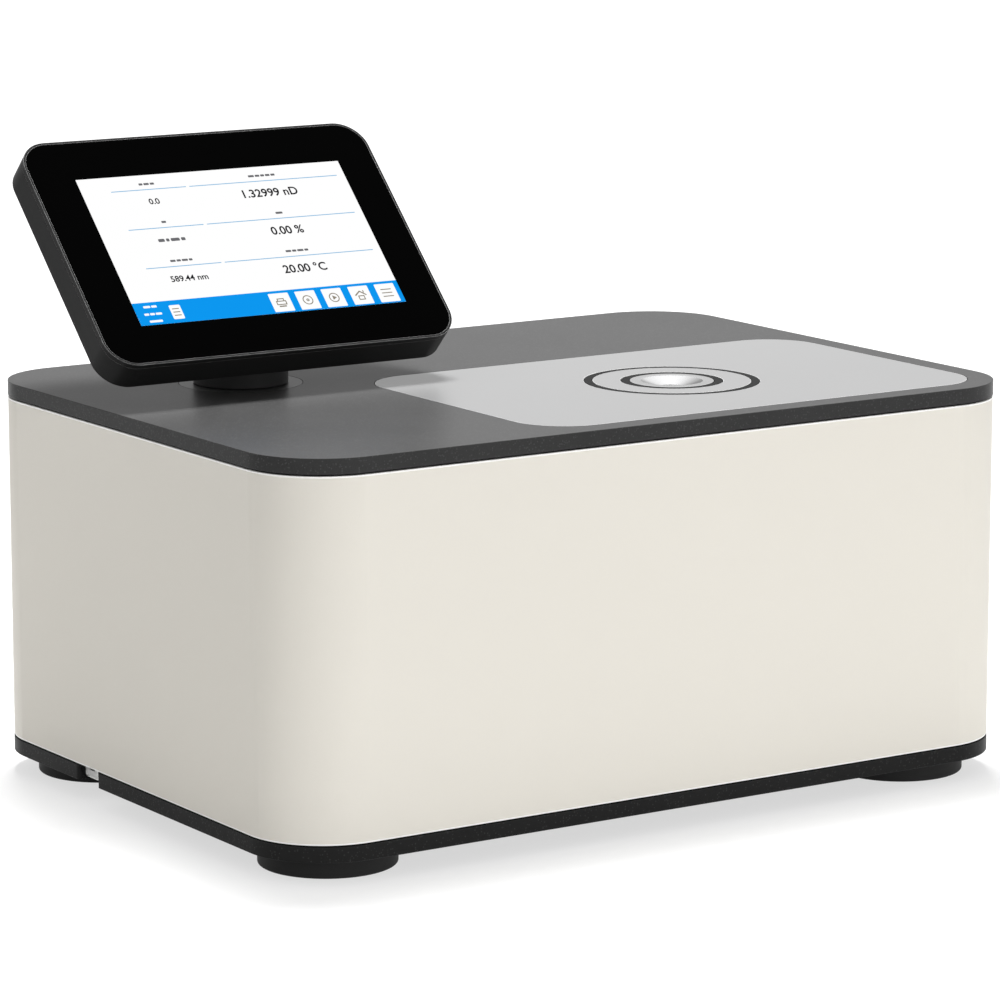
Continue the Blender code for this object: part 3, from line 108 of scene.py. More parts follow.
@dataclass
class Wiring:
    """Adds and joins the nodes of one shader tree."""

    tree: bpy.types.NodeTree

    def feed(self, socket: Socket, source: object) -> None:
        """Link a socket to another one, or set its value.

        Args:
            socket: The socket.
            source: The other one, or the value.
        """
        if isinstance(source, Socket):
            self.tree.links.new(source, socket)
        else:
            socket.default_value = source

    def node(
        self, kind: str, settings: dict[str, object] | None = None, terms: Sequence[object] = (),
        **inputs: object,
    ) -> Node:
        """Add one node.

        Args:
            kind: Type of the node, without the leading "ShaderNode".
            settings: Properties of the node.
            terms: Sources or values of its first sockets, in order.
            **inputs: Sources or values of its sockets by name, with _ for a blank.

        Returns:
            The new node.
        """
        made = self.tree.nodes.new(f"ShaderNode{kind}")
        for name, value in (settings or {}).items():
            setattr(made, name, value)
        for socket, term in zip(made.inputs, terms):
            self.feed(socket, term)
        for name, source in inputs.items():
            self.feed(made.inputs[name.replace("_", " ")], source)
        return made

    def maths(self, operation: str, *terms: object) -> Socket:
        """One Math node over these terms, as its output socket."""
        return self.node("Math", {"operation": operation}, terms).outputs["Value"]

    def vectors(self, operation: str, *terms: object) -> Node:
        """One Vector Math node over these terms."""
        return self.node("VectorMath", {"operation": operation}, terms)

    def blend(self, share: object, below: object, above: object) -> Socket:
        """A colour between two others.

        Args:
            share: How much of the upper colour shows.
            below: The lower colour.
            above: The upper colour.

        Returns:
            The output socket.
        """
        made = self.node("Mix", {"data_type": "RGBA"})
        factor, first, second, result = made.inputs[0], made.inputs[6], made.inputs[7], made.outputs[2]
        for socket, source in ((factor, share), (first, below), (second, above)):
            self.feed(socket, source)
        return result

    def object_point(self) -> Socket:
        """The shaded point in the piece's own coordinates."""
        return self.node("TexCoord").outputs["Object"]


class Effect(Enum):
    """Shader effects of the finishes, each a node group."""

    MOTTLE = "mottle"
    BRUSHING = "brushing"
    FLECKS = "flecks"
    EDGE_WEAR = "pale_edges"
    FAN = "fan"

    def use(self, wiring: Wiring, **inputs: object) -> Node:
        """Put the effect into a shader tree, made when it is first asked for.

        Args:
            wiring: The shader tree.
            **inputs: Sources or values of the effect's inputs.

        Returns:
            The effect's node.
        """
        if self.value not in bpy.data.node_groups:
            getattr(self, f"_make_{self.value}")()
        return wiring.node("Group", {"node_tree": bpy.data.node_groups[self.value]}, **inputs)

    def _open(
        self, inputs: dict[str, object], outputs: dict[str, str]
    ) -> tuple[Wiring, dict[str, Socket], Node]:
        """Start a node group.

        Args:
            inputs: Default value of each input, by name.
            outputs: Kind of each output's socket, by name.

        Returns:
            The wiring, the input sockets by name, and the output node.
        """
        tree = bpy.data.node_groups.new(self.value, "ShaderNodeTree")
        for name, value in inputs.items():
            kind = "Float" if isinstance(value, float) else "Vector" if len(value) == 3 else "Color"
            made = tree.interface.new_socket(name=name, in_out="INPUT", socket_type=f"NodeSocket{kind}")
            made.default_value = value
        for name, kind in outputs.items():
            tree.interface.new_socket(name=name, in_out="OUTPUT", socket_type=f"NodeSocket{kind}")
        entry, end = tree.nodes.new("NodeGroupInput"), tree.nodes.new("NodeGroupOutput")
        return Wiring(tree), {socket.name: socket for socket in entry.outputs}, end

    def _make_mottle(self) -> None:
        """Fine grain and soft clouds that vary a colour and a roughness, with the grain as a height."""
        wiring, given, end = self._open(
            {"Colour": (1.0, 1.0, 1.0, 1.0), "Roughness": 0.5, "Tint Spread": 0.1, "Gloss Spread": 0.1,
             "Grain Size": 0.001, "Cloud Size": 0.05},
            {"Colour": "Color", "Roughness": "Float", "Height": "Float"},
        )
        point = wiring.object_point()
        noises = []
        for size, detail, roughness in (("Grain Size", 2.0, 0.6), ("Cloud Size", 3.0, 0.5)):
            scale = wiring.maths("DIVIDE", 1.0, given[size])
            noise = wiring.node("TexNoise", Vector=point, Scale=scale, Detail=detail, Roughness=roughness)
            noises.append(noise.outputs["Fac"])
        grain, cloud = noises
        both = wiring.maths("SUBTRACT", wiring.maths("ADD", grain, cloud), 1.0)
        level = wiring.maths("ADD", wiring.maths("MULTIPLY", both, given["Tint Spread"]), 1.0)
        tinted = wiring.vectors("SCALE", given["Colour"])
        wiring.feed(tinted.inputs["Scale"], level)
        gloss = wiring.maths("MULTIPLY", wiring.maths("SUBTRACT", cloud, 0.5), given["Gloss Spread"])
        wiring.feed(end.inputs["Colour"], tinted.outputs["Vector"])
        wiring.feed(end.inputs["Roughness"], wiring.maths("ADD", given["Roughness"], gloss))
        wiring.feed(end.inputs["Height"], grain)

    def _make_brushing(self) -> None:
        """Fine parallel or circular lines of a machined face, as a value around one half."""
        wiring, given, end = self._open({"Stretch": (1.0, 1.0, 1.0), "Fineness": 1000.0}, {"Lines": "Float"})
        point = wiring.vectors("MULTIPLY", wiring.object_point(), given["Stretch"]).outputs["Vector"]
        lines = wiring.node("TexNoise", Vector=point, Scale=given["Fineness"], Detail=3.0, Roughness=0.7)
        wiring.feed(end.inputs["Lines"], lines.outputs["Fac"])

    def _make_flecks(self) -> None:
        """Scattered small flecks of a textured coating, as a mask."""
        wiring, given, end = self._open(
            {"Size": 0.0008, "Share": 0.3, "Fleck Reach": 0.45}, {"Mask": "Float"}
        )
        scale = wiring.maths("DIVIDE", 1.0, given["Size"])
        cells = wiring.node("TexVoronoi", Vector=wiring.object_point(), Scale=scale)
        tone = wiring.node("SeparateColor", Color=cells.outputs["Color"]).outputs["Red"]
        chosen = wiring.maths("LESS_THAN", tone, given["Share"])
        core = wiring.maths("LESS_THAN", cells.outputs["Distance"], given["Fleck Reach"])
        wiring.feed(end.inputs["Mask"], wiring.maths("MULTIPLY", chosen, core))

    def _make_fan(self) -> None:
        """Two fans on opposite sides of a turned face, as a mask: painted reflection, the darker sides of a
        polished dish's reflection, set about the Turn angle, which is nearly the camera's azimuth.
        """
        wiring, given, end = self._open(
            {"Centre": (0.0, 0.0, 0.0), "Reach": 0.0, "Turn": math.radians(-33.0), "Strong": 0.95,
             "Faint": 0.40, "Narrowness": 2.5},
            {"Mask": "Float"},
        )
        spoke = wiring.vectors("SUBTRACT", wiring.object_point(), given["Centre"]).outputs["Vector"]
        parts = wiring.node("SeparateXYZ", Vector=spoke).outputs
        angle = wiring.maths("SUBTRACT", wiring.maths("ARCTAN2", parts["Y"], parts["X"]), given["Turn"])
        facing = wiring.maths("COSINE", angle)
        lobes = []
        for sign, strength in ((1.0, given["Strong"]), (-1.0, given["Faint"])):
            lobe = wiring.maths("MAXIMUM", wiring.maths("MULTIPLY", facing, sign), 0.0)
            narrowed = wiring.maths("POWER", lobe, given["Narrowness"])
            lobes.append(wiring.maths("MULTIPLY", narrowed, strength))
        flat = wiring.vectors("MULTIPLY", spoke, (1.0, 1.0, 0.0)).outputs["Vector"]
        radius = wiring.vectors("LENGTH", flat).outputs["Value"]
        inside = wiring.maths("LESS_THAN", radius, given["Reach"])
        wiring.feed(end.inputs["Mask"], wiring.maths("MULTIPLY", inside, wiring.maths("ADD", *lobes)))

    def _make_pale_edges(self) -> None:
        """Paler edges, found from the Bevel node's rounded normal and broken up by noise, as a mask. On the
        ivory paint, the charcoal coat, the satin silver and the bezel it is a painted highlight along the
        edges.
        """
        wiring, given, end = self._open(
            {"Width": 0.0006, "Amount": 0.5, "First Turn": 0.01, "Full Turn": 0.12, "Patches": 180.0},
            {"Mask": "Float"},
        )
        rounded = wiring.node("Bevel", {"samples": 4}, Radius=given["Width"]).outputs["Normal"]
        normal = wiring.node("NewGeometry").outputs["Normal"]
        facing = wiring.vectors("DOT_PRODUCT", rounded, normal).outputs["Value"]
        steep = wiring.node(
            "MapRange", Value=wiring.maths("SUBTRACT", 1.0, facing), From_Min=given["First Turn"],
            From_Max=given["Full Turn"],
        ).outputs["Result"]
        patch = wiring.node(
            "TexNoise", Vector=wiring.object_point(), Scale=given["Patches"], Detail=4.0
        ).outputs["Fac"]
        broken = wiring.maths("MULTIPLY", steep, patch)
        wiring.feed(end.inputs["Mask"], wiring.maths("MULTIPLY", broken, given["Amount"]))


@dataclass(frozen=True)
class Finish:
    """One surface finish, made as a procedural material.

    A size of zero switches that part of the finish off.
    """

    name: str
    slot: str
    colour: Colour
    roughness: float
    metallic: float = 0.0
    specular: float = 0.5
    refraction: float = 1.45
    transmission: float = 0.0
    tint_spread: float = 0.08
    gloss_spread: float = 0.08
    grain_size: float = 0.0006
    cloud_size: float = 0.06
    grain_depth: float = 0.00002
    fleck_size: float = 0.0
    fleck_share: float = 0.3
    fleck_colour: Colour = (0.0, 0.0, 0.0)
    fleck_strength: float = 0.5
    # Paler edges. On the ivory paint, charcoal coat, satin silver and bezel finishes they are a painted
    # highlight.
    pale_edge_width: float = 0.0
    pale_edge_colour: Colour = (0.8, 0.8, 0.8)
    pale_edge_amount: float = 0.4
    brushing: Place | None = None
    brushing_fineness: float = 900.0
    painted_reflection_colour: Colour | None = None
    painted_reflection_reach: float = 0.0
    glow: float = 0.0

    def material(self) -> bpy.types.Material:
        """The finish's material, made when it is first asked for."""
        if self.name not in bpy.data.materials:
            self._make()
        return bpy.data.materials[self.name]

    def dress(self, piece: Piece) -> None:
        """Give a new piece this finish all over.

        Args:
            piece: The new piece.
        """
        piece.data.materials.clear()
        piece.data.materials.append(self.material())

    def dress_node(self, name: str) -> None:
        """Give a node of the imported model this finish."""
        for place in frame["nodes"][name].material_slots:
            place.material = self.material()

    def _make(self) -> None:
        """Wire up the finish."""
        material = bpy.data.materials.new(self.name)
        material.use_nodes = True
        wiring = Wiring(material.node_tree)
        shader = material.node_tree.nodes["Principled BSDF"]
        shader.inputs["Metallic"].default_value = self.metallic
        shader.inputs["Specular IOR Level"].default_value = self.specular
        shader.inputs["IOR"].default_value = self.refraction
        shader.inputs["Transmission Weight"].default_value = self.transmission
        mottle = Effect.MOTTLE.use(
            wiring, Colour=(*self.colour, 1.0), Roughness=self.roughness, Tint_Spread=self.tint_spread,
            Gloss_Spread=self.gloss_spread, Grain_Size=self.grain_size, Cloud_Size=self.cloud_size,
        )
        colour, height = mottle.outputs["Colour"], mottle.outputs["Height"]
        if self.fleck_size:
            flecks = Effect.FLECKS.use(wiring, Size=self.fleck_size, Share=self.fleck_share)
            strength = wiring.maths("MULTIPLY", flecks.outputs["Mask"], self.fleck_strength)
            colour = wiring.blend(strength, colour, (*self.fleck_colour, 1.0))
        if self.brushing:
            lines = Effect.BRUSHING.use(wiring, Stretch=self.brushing, Fineness=self.brushing_fineness)
            height = wiring.maths("ADD", height, lines.outputs["Lines"])
        # Dark fans on the dish: painted reflection, the darker sides of its mirrored surroundings.
        if self.painted_reflection_colour:
            fan = Effect.FAN.use(wiring, Centre=tuple(middle_of("prism_dish")), Reach=self.painted_reflection_reach)
            colour = wiring.blend(fan.outputs["Mask"], colour, (*self.painted_reflection_colour, 1.0))
        # Paler edges blended into the colour: a painted highlight on several finishes.
        if self.pale_edge_width:
            pale_edge_mask = Effect.EDGE_WEAR.use(wiring, Width=self.pale_edge_width, Amount=self.pale_edge_amount)
            colour = wiring.blend(pale_edge_mask.outputs["Mask"], colour, (*self.pale_edge_colour, 1.0))
        bump = wiring.node("Bump", Distance=self.grain_depth, Height=height)
        wiring.feed(shader.inputs["Normal"], bump.outputs["Normal"])
        wiring.feed(shader.inputs["Roughness"], mottle.outputs["Roughness"])
        if self.glow:
            wiring.feed(shader.inputs["Emission Color"], colour)
            shader.inputs["Emission Strength"].default_value = self.glow
            shader.inputs["Base Color"].default_value = (0.0, 0.0, 0.0, 1.0)
        else:
            wiring.feed(shader.inputs["Base Color"], colour)


def grey(level: float) -> Colour:
    """A neutral colour."""
    return (level, level, level)


def lit(name: str, colour: Colour, tint_spread: float = 0.02, cloud_size: float = 0.06) -> Finish:
    """Finish of something that the screen shows.

    Args:
        name: Name of its material.
        colour: Its colour.
        tint_spread: How much the colour varies.
        cloud_size: Size of the clouds in which it varies.

    Returns:
        The finish.
    """
    return Finish(
        name, "lcd_panel", colour, 0.12, specular=0.0, tint_spread=tint_spread, gloss_spread=0.02,
        grain_size=0.0004, cloud_size=cloud_size, grain_depth=0.0000003, glow=1.0,
    )


def clear(
    name: str, slot: str, colour: Colour, roughness: float, refraction: float, tint_spread: float
) -> Finish:
    """Finish of a see-through piece.

    Args:
        name: Name of its material.
        slot: The slot that it fills.
        colour: Its colour.
        roughness: Its roughness.
        refraction: Its refractive index.
        tint_spread: How much the colour varies.

    Returns:
        The finish.
    """
    return Finish(
        name, slot, colour, roughness, refraction=refraction, transmission=1.0, tint_spread=tint_spread,
        gloss_spread=0.01, grain_depth=0.0000005,
    )


# Its white pale edges are a painted highlight: a bright line along the wrap's top and bottom edges.
IVORY_PAINT = Finish(
    "ivory_paint", "housing_paint", (0.80, 0.768, 0.698), 0.50, specular=0.20, tint_spread=0.018,
    gloss_spread=0.06, grain_size=0.0009, cloud_size=0.11, grain_depth=0.000012, pale_edge_width=0.0006,
    pale_edge_colour=(1.0, 1.0, 0.98), pale_edge_amount=3.0,
)
# Painted highlight: a pure white band along the wrap's top and bottom edges.
PAINTED_EDGE_HIGHLIGHT = Finish(
    "painted_edge_highlight", "housing_paint", (1.0, 0.995, 0.97), 0.45, specular=0.30, tint_spread=0.01,
    gloss_spread=0.05, grain_depth=0.000004,
)
ANTHRACITE_COAT = Finish(
    "anthracite_coat", "top_plate", grey(0.040), 0.35, specular=0.06, tint_spread=0.30, gloss_spread=0.06,
    grain_size=0.0008, cloud_size=0.07, grain_depth=0.000006, fleck_size=0.0009, fleck_share=0.20,
    fleck_colour=grey(0.09), fleck_strength=0.4, pale_edge_width=0.0004, pale_edge_colour=grey(0.12), pale_edge_amount=0.5,
)
# Its paler edges are a painted highlight along the bottom plate's edges, as on its lit lower edge.
CHARCOAL_COAT = Finish(
    "charcoal_coat", "base_plate", grey(0.018), 0.42, specular=0.05, tint_spread=0.25, grain_size=0.0008,
    grain_depth=0.000008, fleck_size=0.0009, fleck_share=0.15, fleck_colour=grey(0.06), fleck_strength=0.4,
    pale_edge_width=0.0004, pale_edge_colour=grey(0.16), pale_edge_amount=0.9,
)
PANEL_COAT = Finish(
    "panel_coat", "rear_panel", (0.036, 0.036, 0.038), 0.48, tint_spread=0.25, grain_size=0.0007,
    grain_depth=0.00004, fleck_size=0.0010, fleck_share=0.15, fleck_colour=grey(0.11), fleck_strength=0.4,
    pale_edge_width=0.0004, pale_edge_colour=grey(0.25),
)
# Its white pale edges are a painted highlight round the sample plate's and the stage ring's rims.
SATIN_SILVER = Finish(
    "satin_silver", "sample_plate", (0.275, 0.275, 0.276), 0.30, metallic=0.50, tint_spread=0.03,
    gloss_spread=0.05, grain_size=0.0005, cloud_size=0.08, grain_depth=0.0000015, pale_edge_width=0.0004,
    pale_edge_colour=grey(1.0), pale_edge_amount=3.0, brushing=(0.02, 1.0, 1.0), brushing_fineness=1500.0,
)
# Black rubber of the stage seals. On the plates' rebates it is painted shade, a black seam line.
SEAL_RUBBER_AND_SEAM_SHADE = Finish(
    "seal_rubber_and_seam_shade", "seal_ring", grey(0.012), 0.55, specular=0.03, tint_spread=0.20, grain_size=0.0005,
    grain_depth=0.00001,
)
# Its dark fans are painted reflection: the grey sides of the dish's mirrored surroundings.
POLISHED_STEEL = Finish(
    "polished_steel_dish", "polished_steel", (0.84, 0.84, 0.845), 0.16, metallic=1.0, tint_spread=0.02,
    gloss_spread=0.06, grain_size=0.0010, grain_depth=0.000001, painted_reflection_colour=grey(0.12), painted_reflection_reach=0.0157,
)
SAPPHIRE = clear("sapphire", "prism", (0.90, 0.93, 0.96), 0.02, 1.77, 0.02)
FOOT_RUBBER = Finish(
    "foot_rubber", "rubber", grey(0.024), 0.60, specular=0.15, tint_spread=0.22, grain_depth=0.00003,
    pale_edge_width=0.0008, pale_edge_colour=grey(0.05), pale_edge_amount=0.5,
)
ZINC_STEEL = Finish(
    "zinc_steel", "steel", grey(0.58), 0.33, metallic=1.0, gloss_spread=0.14, grain_size=0.0007,
    grain_depth=0.000008, brushing=(1.0, 0.05, 1.0),
)
INSERT_GREY = Finish(
    "insert_grey", "ceramic", (0.74, 0.74, 0.73), 0.45, tint_spread=0.02, grain_size=0.0004,
    grain_depth=0.000004,
)
SOCKET_STEEL = Finish(
    "socket_steel", "steel", (0.66, 0.66, 0.65), 0.27, metallic=1.0, tint_spread=0.05, gloss_spread=0.12,
    grain_size=0.0005, grain_depth=0.000005,
)
MACHINED_ALUMINIUM = Finish(
    "machined_aluminium", "aluminium", (0.70, 0.70, 0.72), 0.38, metallic=1.0, tint_spread=0.05,
    gloss_spread=0.10, grain_size=0.0007, grain_depth=0.000010, brushing=(0.04, 1.0, 1.0),
)
TURNED_BRONZE = Finish(
    "turned_bronze", "bronze", (0.50, 0.35, 0.18), 0.36, metallic=1.0, tint_spread=0.10, gloss_spread=0.12,
    grain_depth=0.000010, brushing=(1.0, 1.0, 0.05),
)
SUPPLY_SHEET = Finish(
    "supply_sheet", "supply_case", grey(0.60), 0.36, metallic=1.0, tint_spread=0.06, grain_size=0.0009,
    grain_depth=0.000010, fleck_size=0.0050, fleck_share=1.0, fleck_colour=grey(0.03), fleck_strength=0.9,
)
WHITE_CERAMIC = Finish(
    "white_ceramic", "ceramic", (0.84, 0.84, 0.81), 0.50, tint_spread=0.04, grain_size=0.0004,
    grain_depth=0.000010,
)
MOULDED_BLACK = Finish(
    "moulded_black", "black_plastic", (0.015, 0.015, 0.0152), 0.40, specular=0.30, tint_spread=0.22,
    gloss_spread=0.12, grain_size=0.0005, grain_depth=0.000025, pale_edge_width=0.0004, pale_edge_colour=grey(0.07),
)
DISC_GREY = Finish(
    "disc_grey", "disc_plastic", grey(0.046), 0.36, specular=0.14, tint_spread=0.20, grain_depth=0.000006,
    pale_edge_width=0.0004, pale_edge_colour=grey(0.14),
)
DISPLAY_GREY = Finish(
    "display_grey", "display_plastic", grey(0.012), 0.40, specular=0.055, tint_spread=0.16,
    gloss_spread=0.10, grain_depth=0.000010, pale_edge_width=0.0004, pale_edge_colour=grey(0.07), pale_edge_amount=0.5,
)
# Its pale edges are a painted highlight: the thin light line round the display's rim.
BEZEL_GREY = Finish(
    "bezel_grey", "display_plastic", grey(0.012), 0.36, specular=0.055, tint_spread=0.15, gloss_spread=0.10,
    grain_size=0.0005, grain_depth=0.000010, pale_edge_width=0.0005, pale_edge_colour=grey(0.26), pale_edge_amount=2.0,
)
BLACK_GLASS = Finish(
    "black_glass", "cover_glass", grey(0.0004), 0.10, specular=0.006, tint_spread=0.10, gloss_spread=0.03,
    grain_size=0.0010, grain_depth=0.0000003,
)
CLEAR_GLASS = clear("clear_lens_glass", "lens_glass", (0.88, 0.93, 0.94), 0.02, 1.52, 0.02)
AMBER_GLASS = clear("amber_filter_glass", "filter_glass", (0.90, 0.55, 0.15), 0.03, 1.52, 0.04)
SILVERED_GLASS = Finish(
    "silvered_glass", "mirror", grey(0.90), 0.03, metallic=1.0, tint_spread=0.02, gloss_spread=0.02,
    grain_depth=0.0000005,
)
GREEN_BOARD = Finish(
    "green_board", "circuit_board", (0.020, 0.150, 0.060), 0.40, tint_spread=0.22, grain_size=0.0020,
    fleck_size=0.0042, fleck_share=0.16, fleck_colour=(0.50, 0.42, 0.20), fleck_strength=0.85,
)
PANEL_TRAY = Finish(
    "panel_tray", "lcd_panel", (0.30, 0.30, 0.31), 0.35, metallic=0.8, grain_size=0.0008,
    brushing=(1.0, 0.05, 1.0),
)
GOLD_CONTACT = Finish(
    "gold_contact", "bronze", (0.80, 0.58, 0.24), 0.26, metallic=1.0, tint_spread=0.05, grain_size=0.0004,
    grain_depth=0.000004,
)
MARK_WHITE = Finish(
    "mark_white", "ceramic", (0.78, 0.78, 0.76), 0.55, tint_spread=0.04, grain_size=0.0004,
    grain_depth=0.000006,
)
LIT_WHITE = lit("lit_white", grey(1.0), tint_spread=0.012, cloud_size=0.09)
LIT_BLUE = lit("lit_blue", (0.004, 0.310, 0.870))
LIT_RULE = lit("lit_rule_blue", (0.18, 0.45, 0.72))
LIT_INK = lit("lit_ink", (0.020, 0.020, 0.022))
LIT_SOFT_INK = lit("lit_soft_ink", (0.15, 0.15, 0.16))
LIT_ICON = lit("lit_icon_brown", (0.27, 0.235, 0.18))


def clear_selection() -> None:
    """Deselect everything, because an operator acts on all that is selected."""
    bpy.ops.object.select_all(action="DESELECT")


def hold(piece: Piece) -> None:
    """Select one piece alone and make it the active one.

    Args:
        piece: The piece.
    """
    clear_selection()
    piece.select_set(True)
    bpy.context.view_layer.objects.active = piece


def settle(piece: Piece) -> Piece:
    """Write a piece's place, turn and size into its mesh, so that its object sits at the origin.

    Args:
        piece: The piece.

    Returns:
        The piece.
    """
    hold(piece)
    bpy.ops.object.transform_apply(location=True, rotation=True, scale=True)
    return piece


def name_piece(piece: Piece, name: str) -> Piece:
    """Name a piece and its mesh alike."""
    piece.name = piece.data.name = name
    return piece


def pick(piece: Piece, test: Test, faces: bool = True) -> None:
    """Open a piece in edit mode with only some of its faces, or of its edges, selected.

    Args:
        piece: The piece.
        test: Tells from a face's centre and normal, or from an edge's two ends, whether it is picked.
        faces: Whether faces are picked. Otherwise edges are.
    """
    hold(piece)
    mesh = piece.data
    for group in (mesh.vertices, mesh.edges, mesh.polygons):
        group.foreach_set("select", [False] * len(group))
    if faces:
        for face in mesh.polygons:
            face.select = test(face.center, face.normal)
    else:
        for edge in mesh.edges:
            edge.select = test(*(mesh.vertices[index].co for index in edge.vertices))
    bpy.context.tool_settings.mesh_select_mode = (False, not faces, faces)
    bpy.ops.object.mode_set(mode="EDIT")


def close_edit() -> None:
    """Leave edit mode."""
    bpy.ops.object.mode_set(mode="OBJECT")


def round_edges(piece: Piece, test: Test, radius: float, steps: int = FEW_STEPS) -> None:
    """Round some edges of a piece.

    Args:
        piece: The piece.
        test: Tells from an edge's two ends whether it is rounded.
        radius: Radius of the rounding.
        steps: Faces in it.
    """
    pick(piece, test, faces=False)
    bpy.ops.mesh.bevel(
        offset_type="OFFSET", offset=radius, segments=steps, profile=0.5, affect="EDGES", clamp_overlap=False
    )
    close_edit()


def slice_piece(piece: Piece, point: Place, across: Place, **settings: bool) -> None:
    """Cut a plane into a piece.

    Args:
        piece: The piece.
        point: A point of the plane.
        across: Its normal.
        **settings: What happens to the two sides.
    """
    pick(piece, lambda centre, normal: True)
    bpy.ops.mesh.bisect(plane_co=point, plane_no=across, **settings)
    close_edit()


def parallel(axis: Axis) -> Test:
    """A test for edges that run along one axis."""
    across = [place for place in range(3) if place != axis.value]
    return lambda start, end: all(abs(start[place] - end[place]) < TOUCH for place in across)


def apply_modifier(piece: Piece, kind: str, **values: object) -> None:
    """Put one modifier on a piece and apply it.

    Args:
        piece: The piece to change.
        kind: Type of the modifier.
        **values: Its settings.
    """
    hold(piece)
    modifier = piece.modifiers.new(kind.lower(), kind)
    for name, value in values.items():
        setattr(modifier, name, value)
    bpy.ops.object.modifier_apply(modifier=modifier.name)


def carve(piece: Piece, tool: Piece, cut: Cut = Cut.REMOVE) -> Piece:
    """Cut a tool's shape out of a piece, or add it, and put the tool away.

    Args:
        piece: The piece to change.
        tool: The other shape.
        cut: What the tool does.

    Returns:
        The piece.
    """
    apply_modifier(piece, "BOOLEAN", object=tool, operation=cut.value, solver="EXACT")
    bpy.data.objects.remove(tool, do_unlink=True)
    return piece


def join(pieces: Iterable[Piece], name: str) -> Piece:
    """Join separate shapes into one piece.

    Args:
        pieces: The shapes.
        name: Name of the piece.

    Returns:
        The piece.
    """
    shapes = list(pieces)
    hold(shapes[0])
    for shape in shapes:
        shape.select_set(True)
    if len(shapes) > 1:
        bpy.ops.object.join()
    return name_piece(shapes[0], name)


def copy_of(piece: Piece, place: Matrix, name: str) -> Piece:
    """Copy a piece with its mesh.

    Args:
        piece: The piece.
        place: How the copy is moved.
        name: Name of the copy.

    Returns:
        The copy.
    """
    twin = piece.copy()
    twin.data = piece.data.copy()
    bpy.context.scene.collection.objects.link(twin)
    twin.matrix_world = place @ piece.matrix_world
    return name_piece(settle(twin), name)


def put(piece: Piece, place: Matrix) -> Piece:
    """Move a piece that was modelled at the origin to its place."""
    piece.matrix_world = place @ piece.matrix_world
    return settle(piece)


def ease(piece: Piece, width: float, steps: int = 3) -> Piece:
    """Round all hard edges of a piece a little, and shade it smooth between them.

    Args:
        piece: The piece.
        width: Width of the rounding, or zero.
        steps: Faces in it.

    Returns:
        The piece.
    """
    if width:
        apply_modifier(
            piece, "BEVEL", width=width, segments=steps, limit_method="ANGLE", angle_limit=HARD_EDGE,
            use_clamp_overlap=False, miter_outer="MITER_ARC",
        )
    hold(piece)
    bpy.ops.object.shade_smooth_by_angle(angle=SMOOTH_EDGE)
    apply_modifier(piece, "WEIGHTED_NORMAL", keep_sharp=True)
    return piece


def rounded_block(
    name: str, low: Place, high: Place, radius: float = 0.0, axis: Axis = Axis.Z, steps: int = MANY_STEPS
) -> Piece:
    """A block between two corners, with its four edges along one axis rounded.

    Args:
        name: Name of the piece.
        low: Lowest corner.
        high: Highest corner.
        radius: Radius of the four edges, or zero.
        axis: Direction of those edges.
        steps: Faces in each rounded edge.

    Returns:
        The block, at the origin.
    """
    clear_selection()
    corner, far = Vector(low), Vector(high)
    bpy.ops.mesh.primitive_cube_add(size=1.0, location=(corner + far) / 2, scale=far - corner)
    block = settle(name_piece(bpy.context.active_object, name))
    if radius:
        round_edges(block, parallel(axis), radius, steps)
    return block


def inset_block(
    name: str, box: Sequence[Vector], inset: float, start: float, end: float, radius: float = 0.0,
    steps: int = FEW_STEPS,
) -> Piece:
    """A block that runs along Y, drawn in from the other four sides of a box.

    Args:
        name: Name of the piece.
        box: Lowest and highest corner of the box.
        inset: How far it is drawn in.
        start: Where it starts along Y.
        end: Where it ends.
        radius: Radius of its four long edges.
        steps: Faces in each of them.

    Returns:
        The block, at the origin.
    """
    low, high = box
    corner, far = (low.x + inset, start, low.z + inset), (high.x - inset, end, high.z - inset)
    return rounded_block(name, corner, far, radius, Axis.Y, steps)


def row_of(
    name: str, low: Place, high: Place, count: int, pitch: float, radius: float = 0.0, axis: Axis = Axis.Z
) -> list[Piece]:
    """Equal blocks in a row along X.

    Args:
        name: Name of the row.
        low: Lowest corner of a block in its middle.
        high: Highest corner of it.
        count: How many blocks there are.
        pitch: Distance from one to the next.
        radius: Radius of their four edges along one axis.
        axis: Direction of those edges.

    Returns:
        The blocks.
    """
    blocks = []
    for index in range(count):
        shift = (index - (count - 1) / 2) * pitch
        start, end = ((corner[0] + shift, corner[1], corner[2]) for corner in (low, high))
        blocks.append(rounded_block(f"{name}_{index}", start, end, radius, axis, FEW_STEPS))
    return blocks


def clean_mesh(reach: float) -> None:
    """Merge the open mesh's double points, turn its faces out and leave edit mode.

    Args:
        reach: How close together double points lie.
    """
    bpy.ops.mesh.select_all(action="SELECT")
    bpy.ops.mesh.remove_doubles(threshold=reach)
    bpy.ops.mesh.normals_make_consistent(inside=False)
    close_edit()


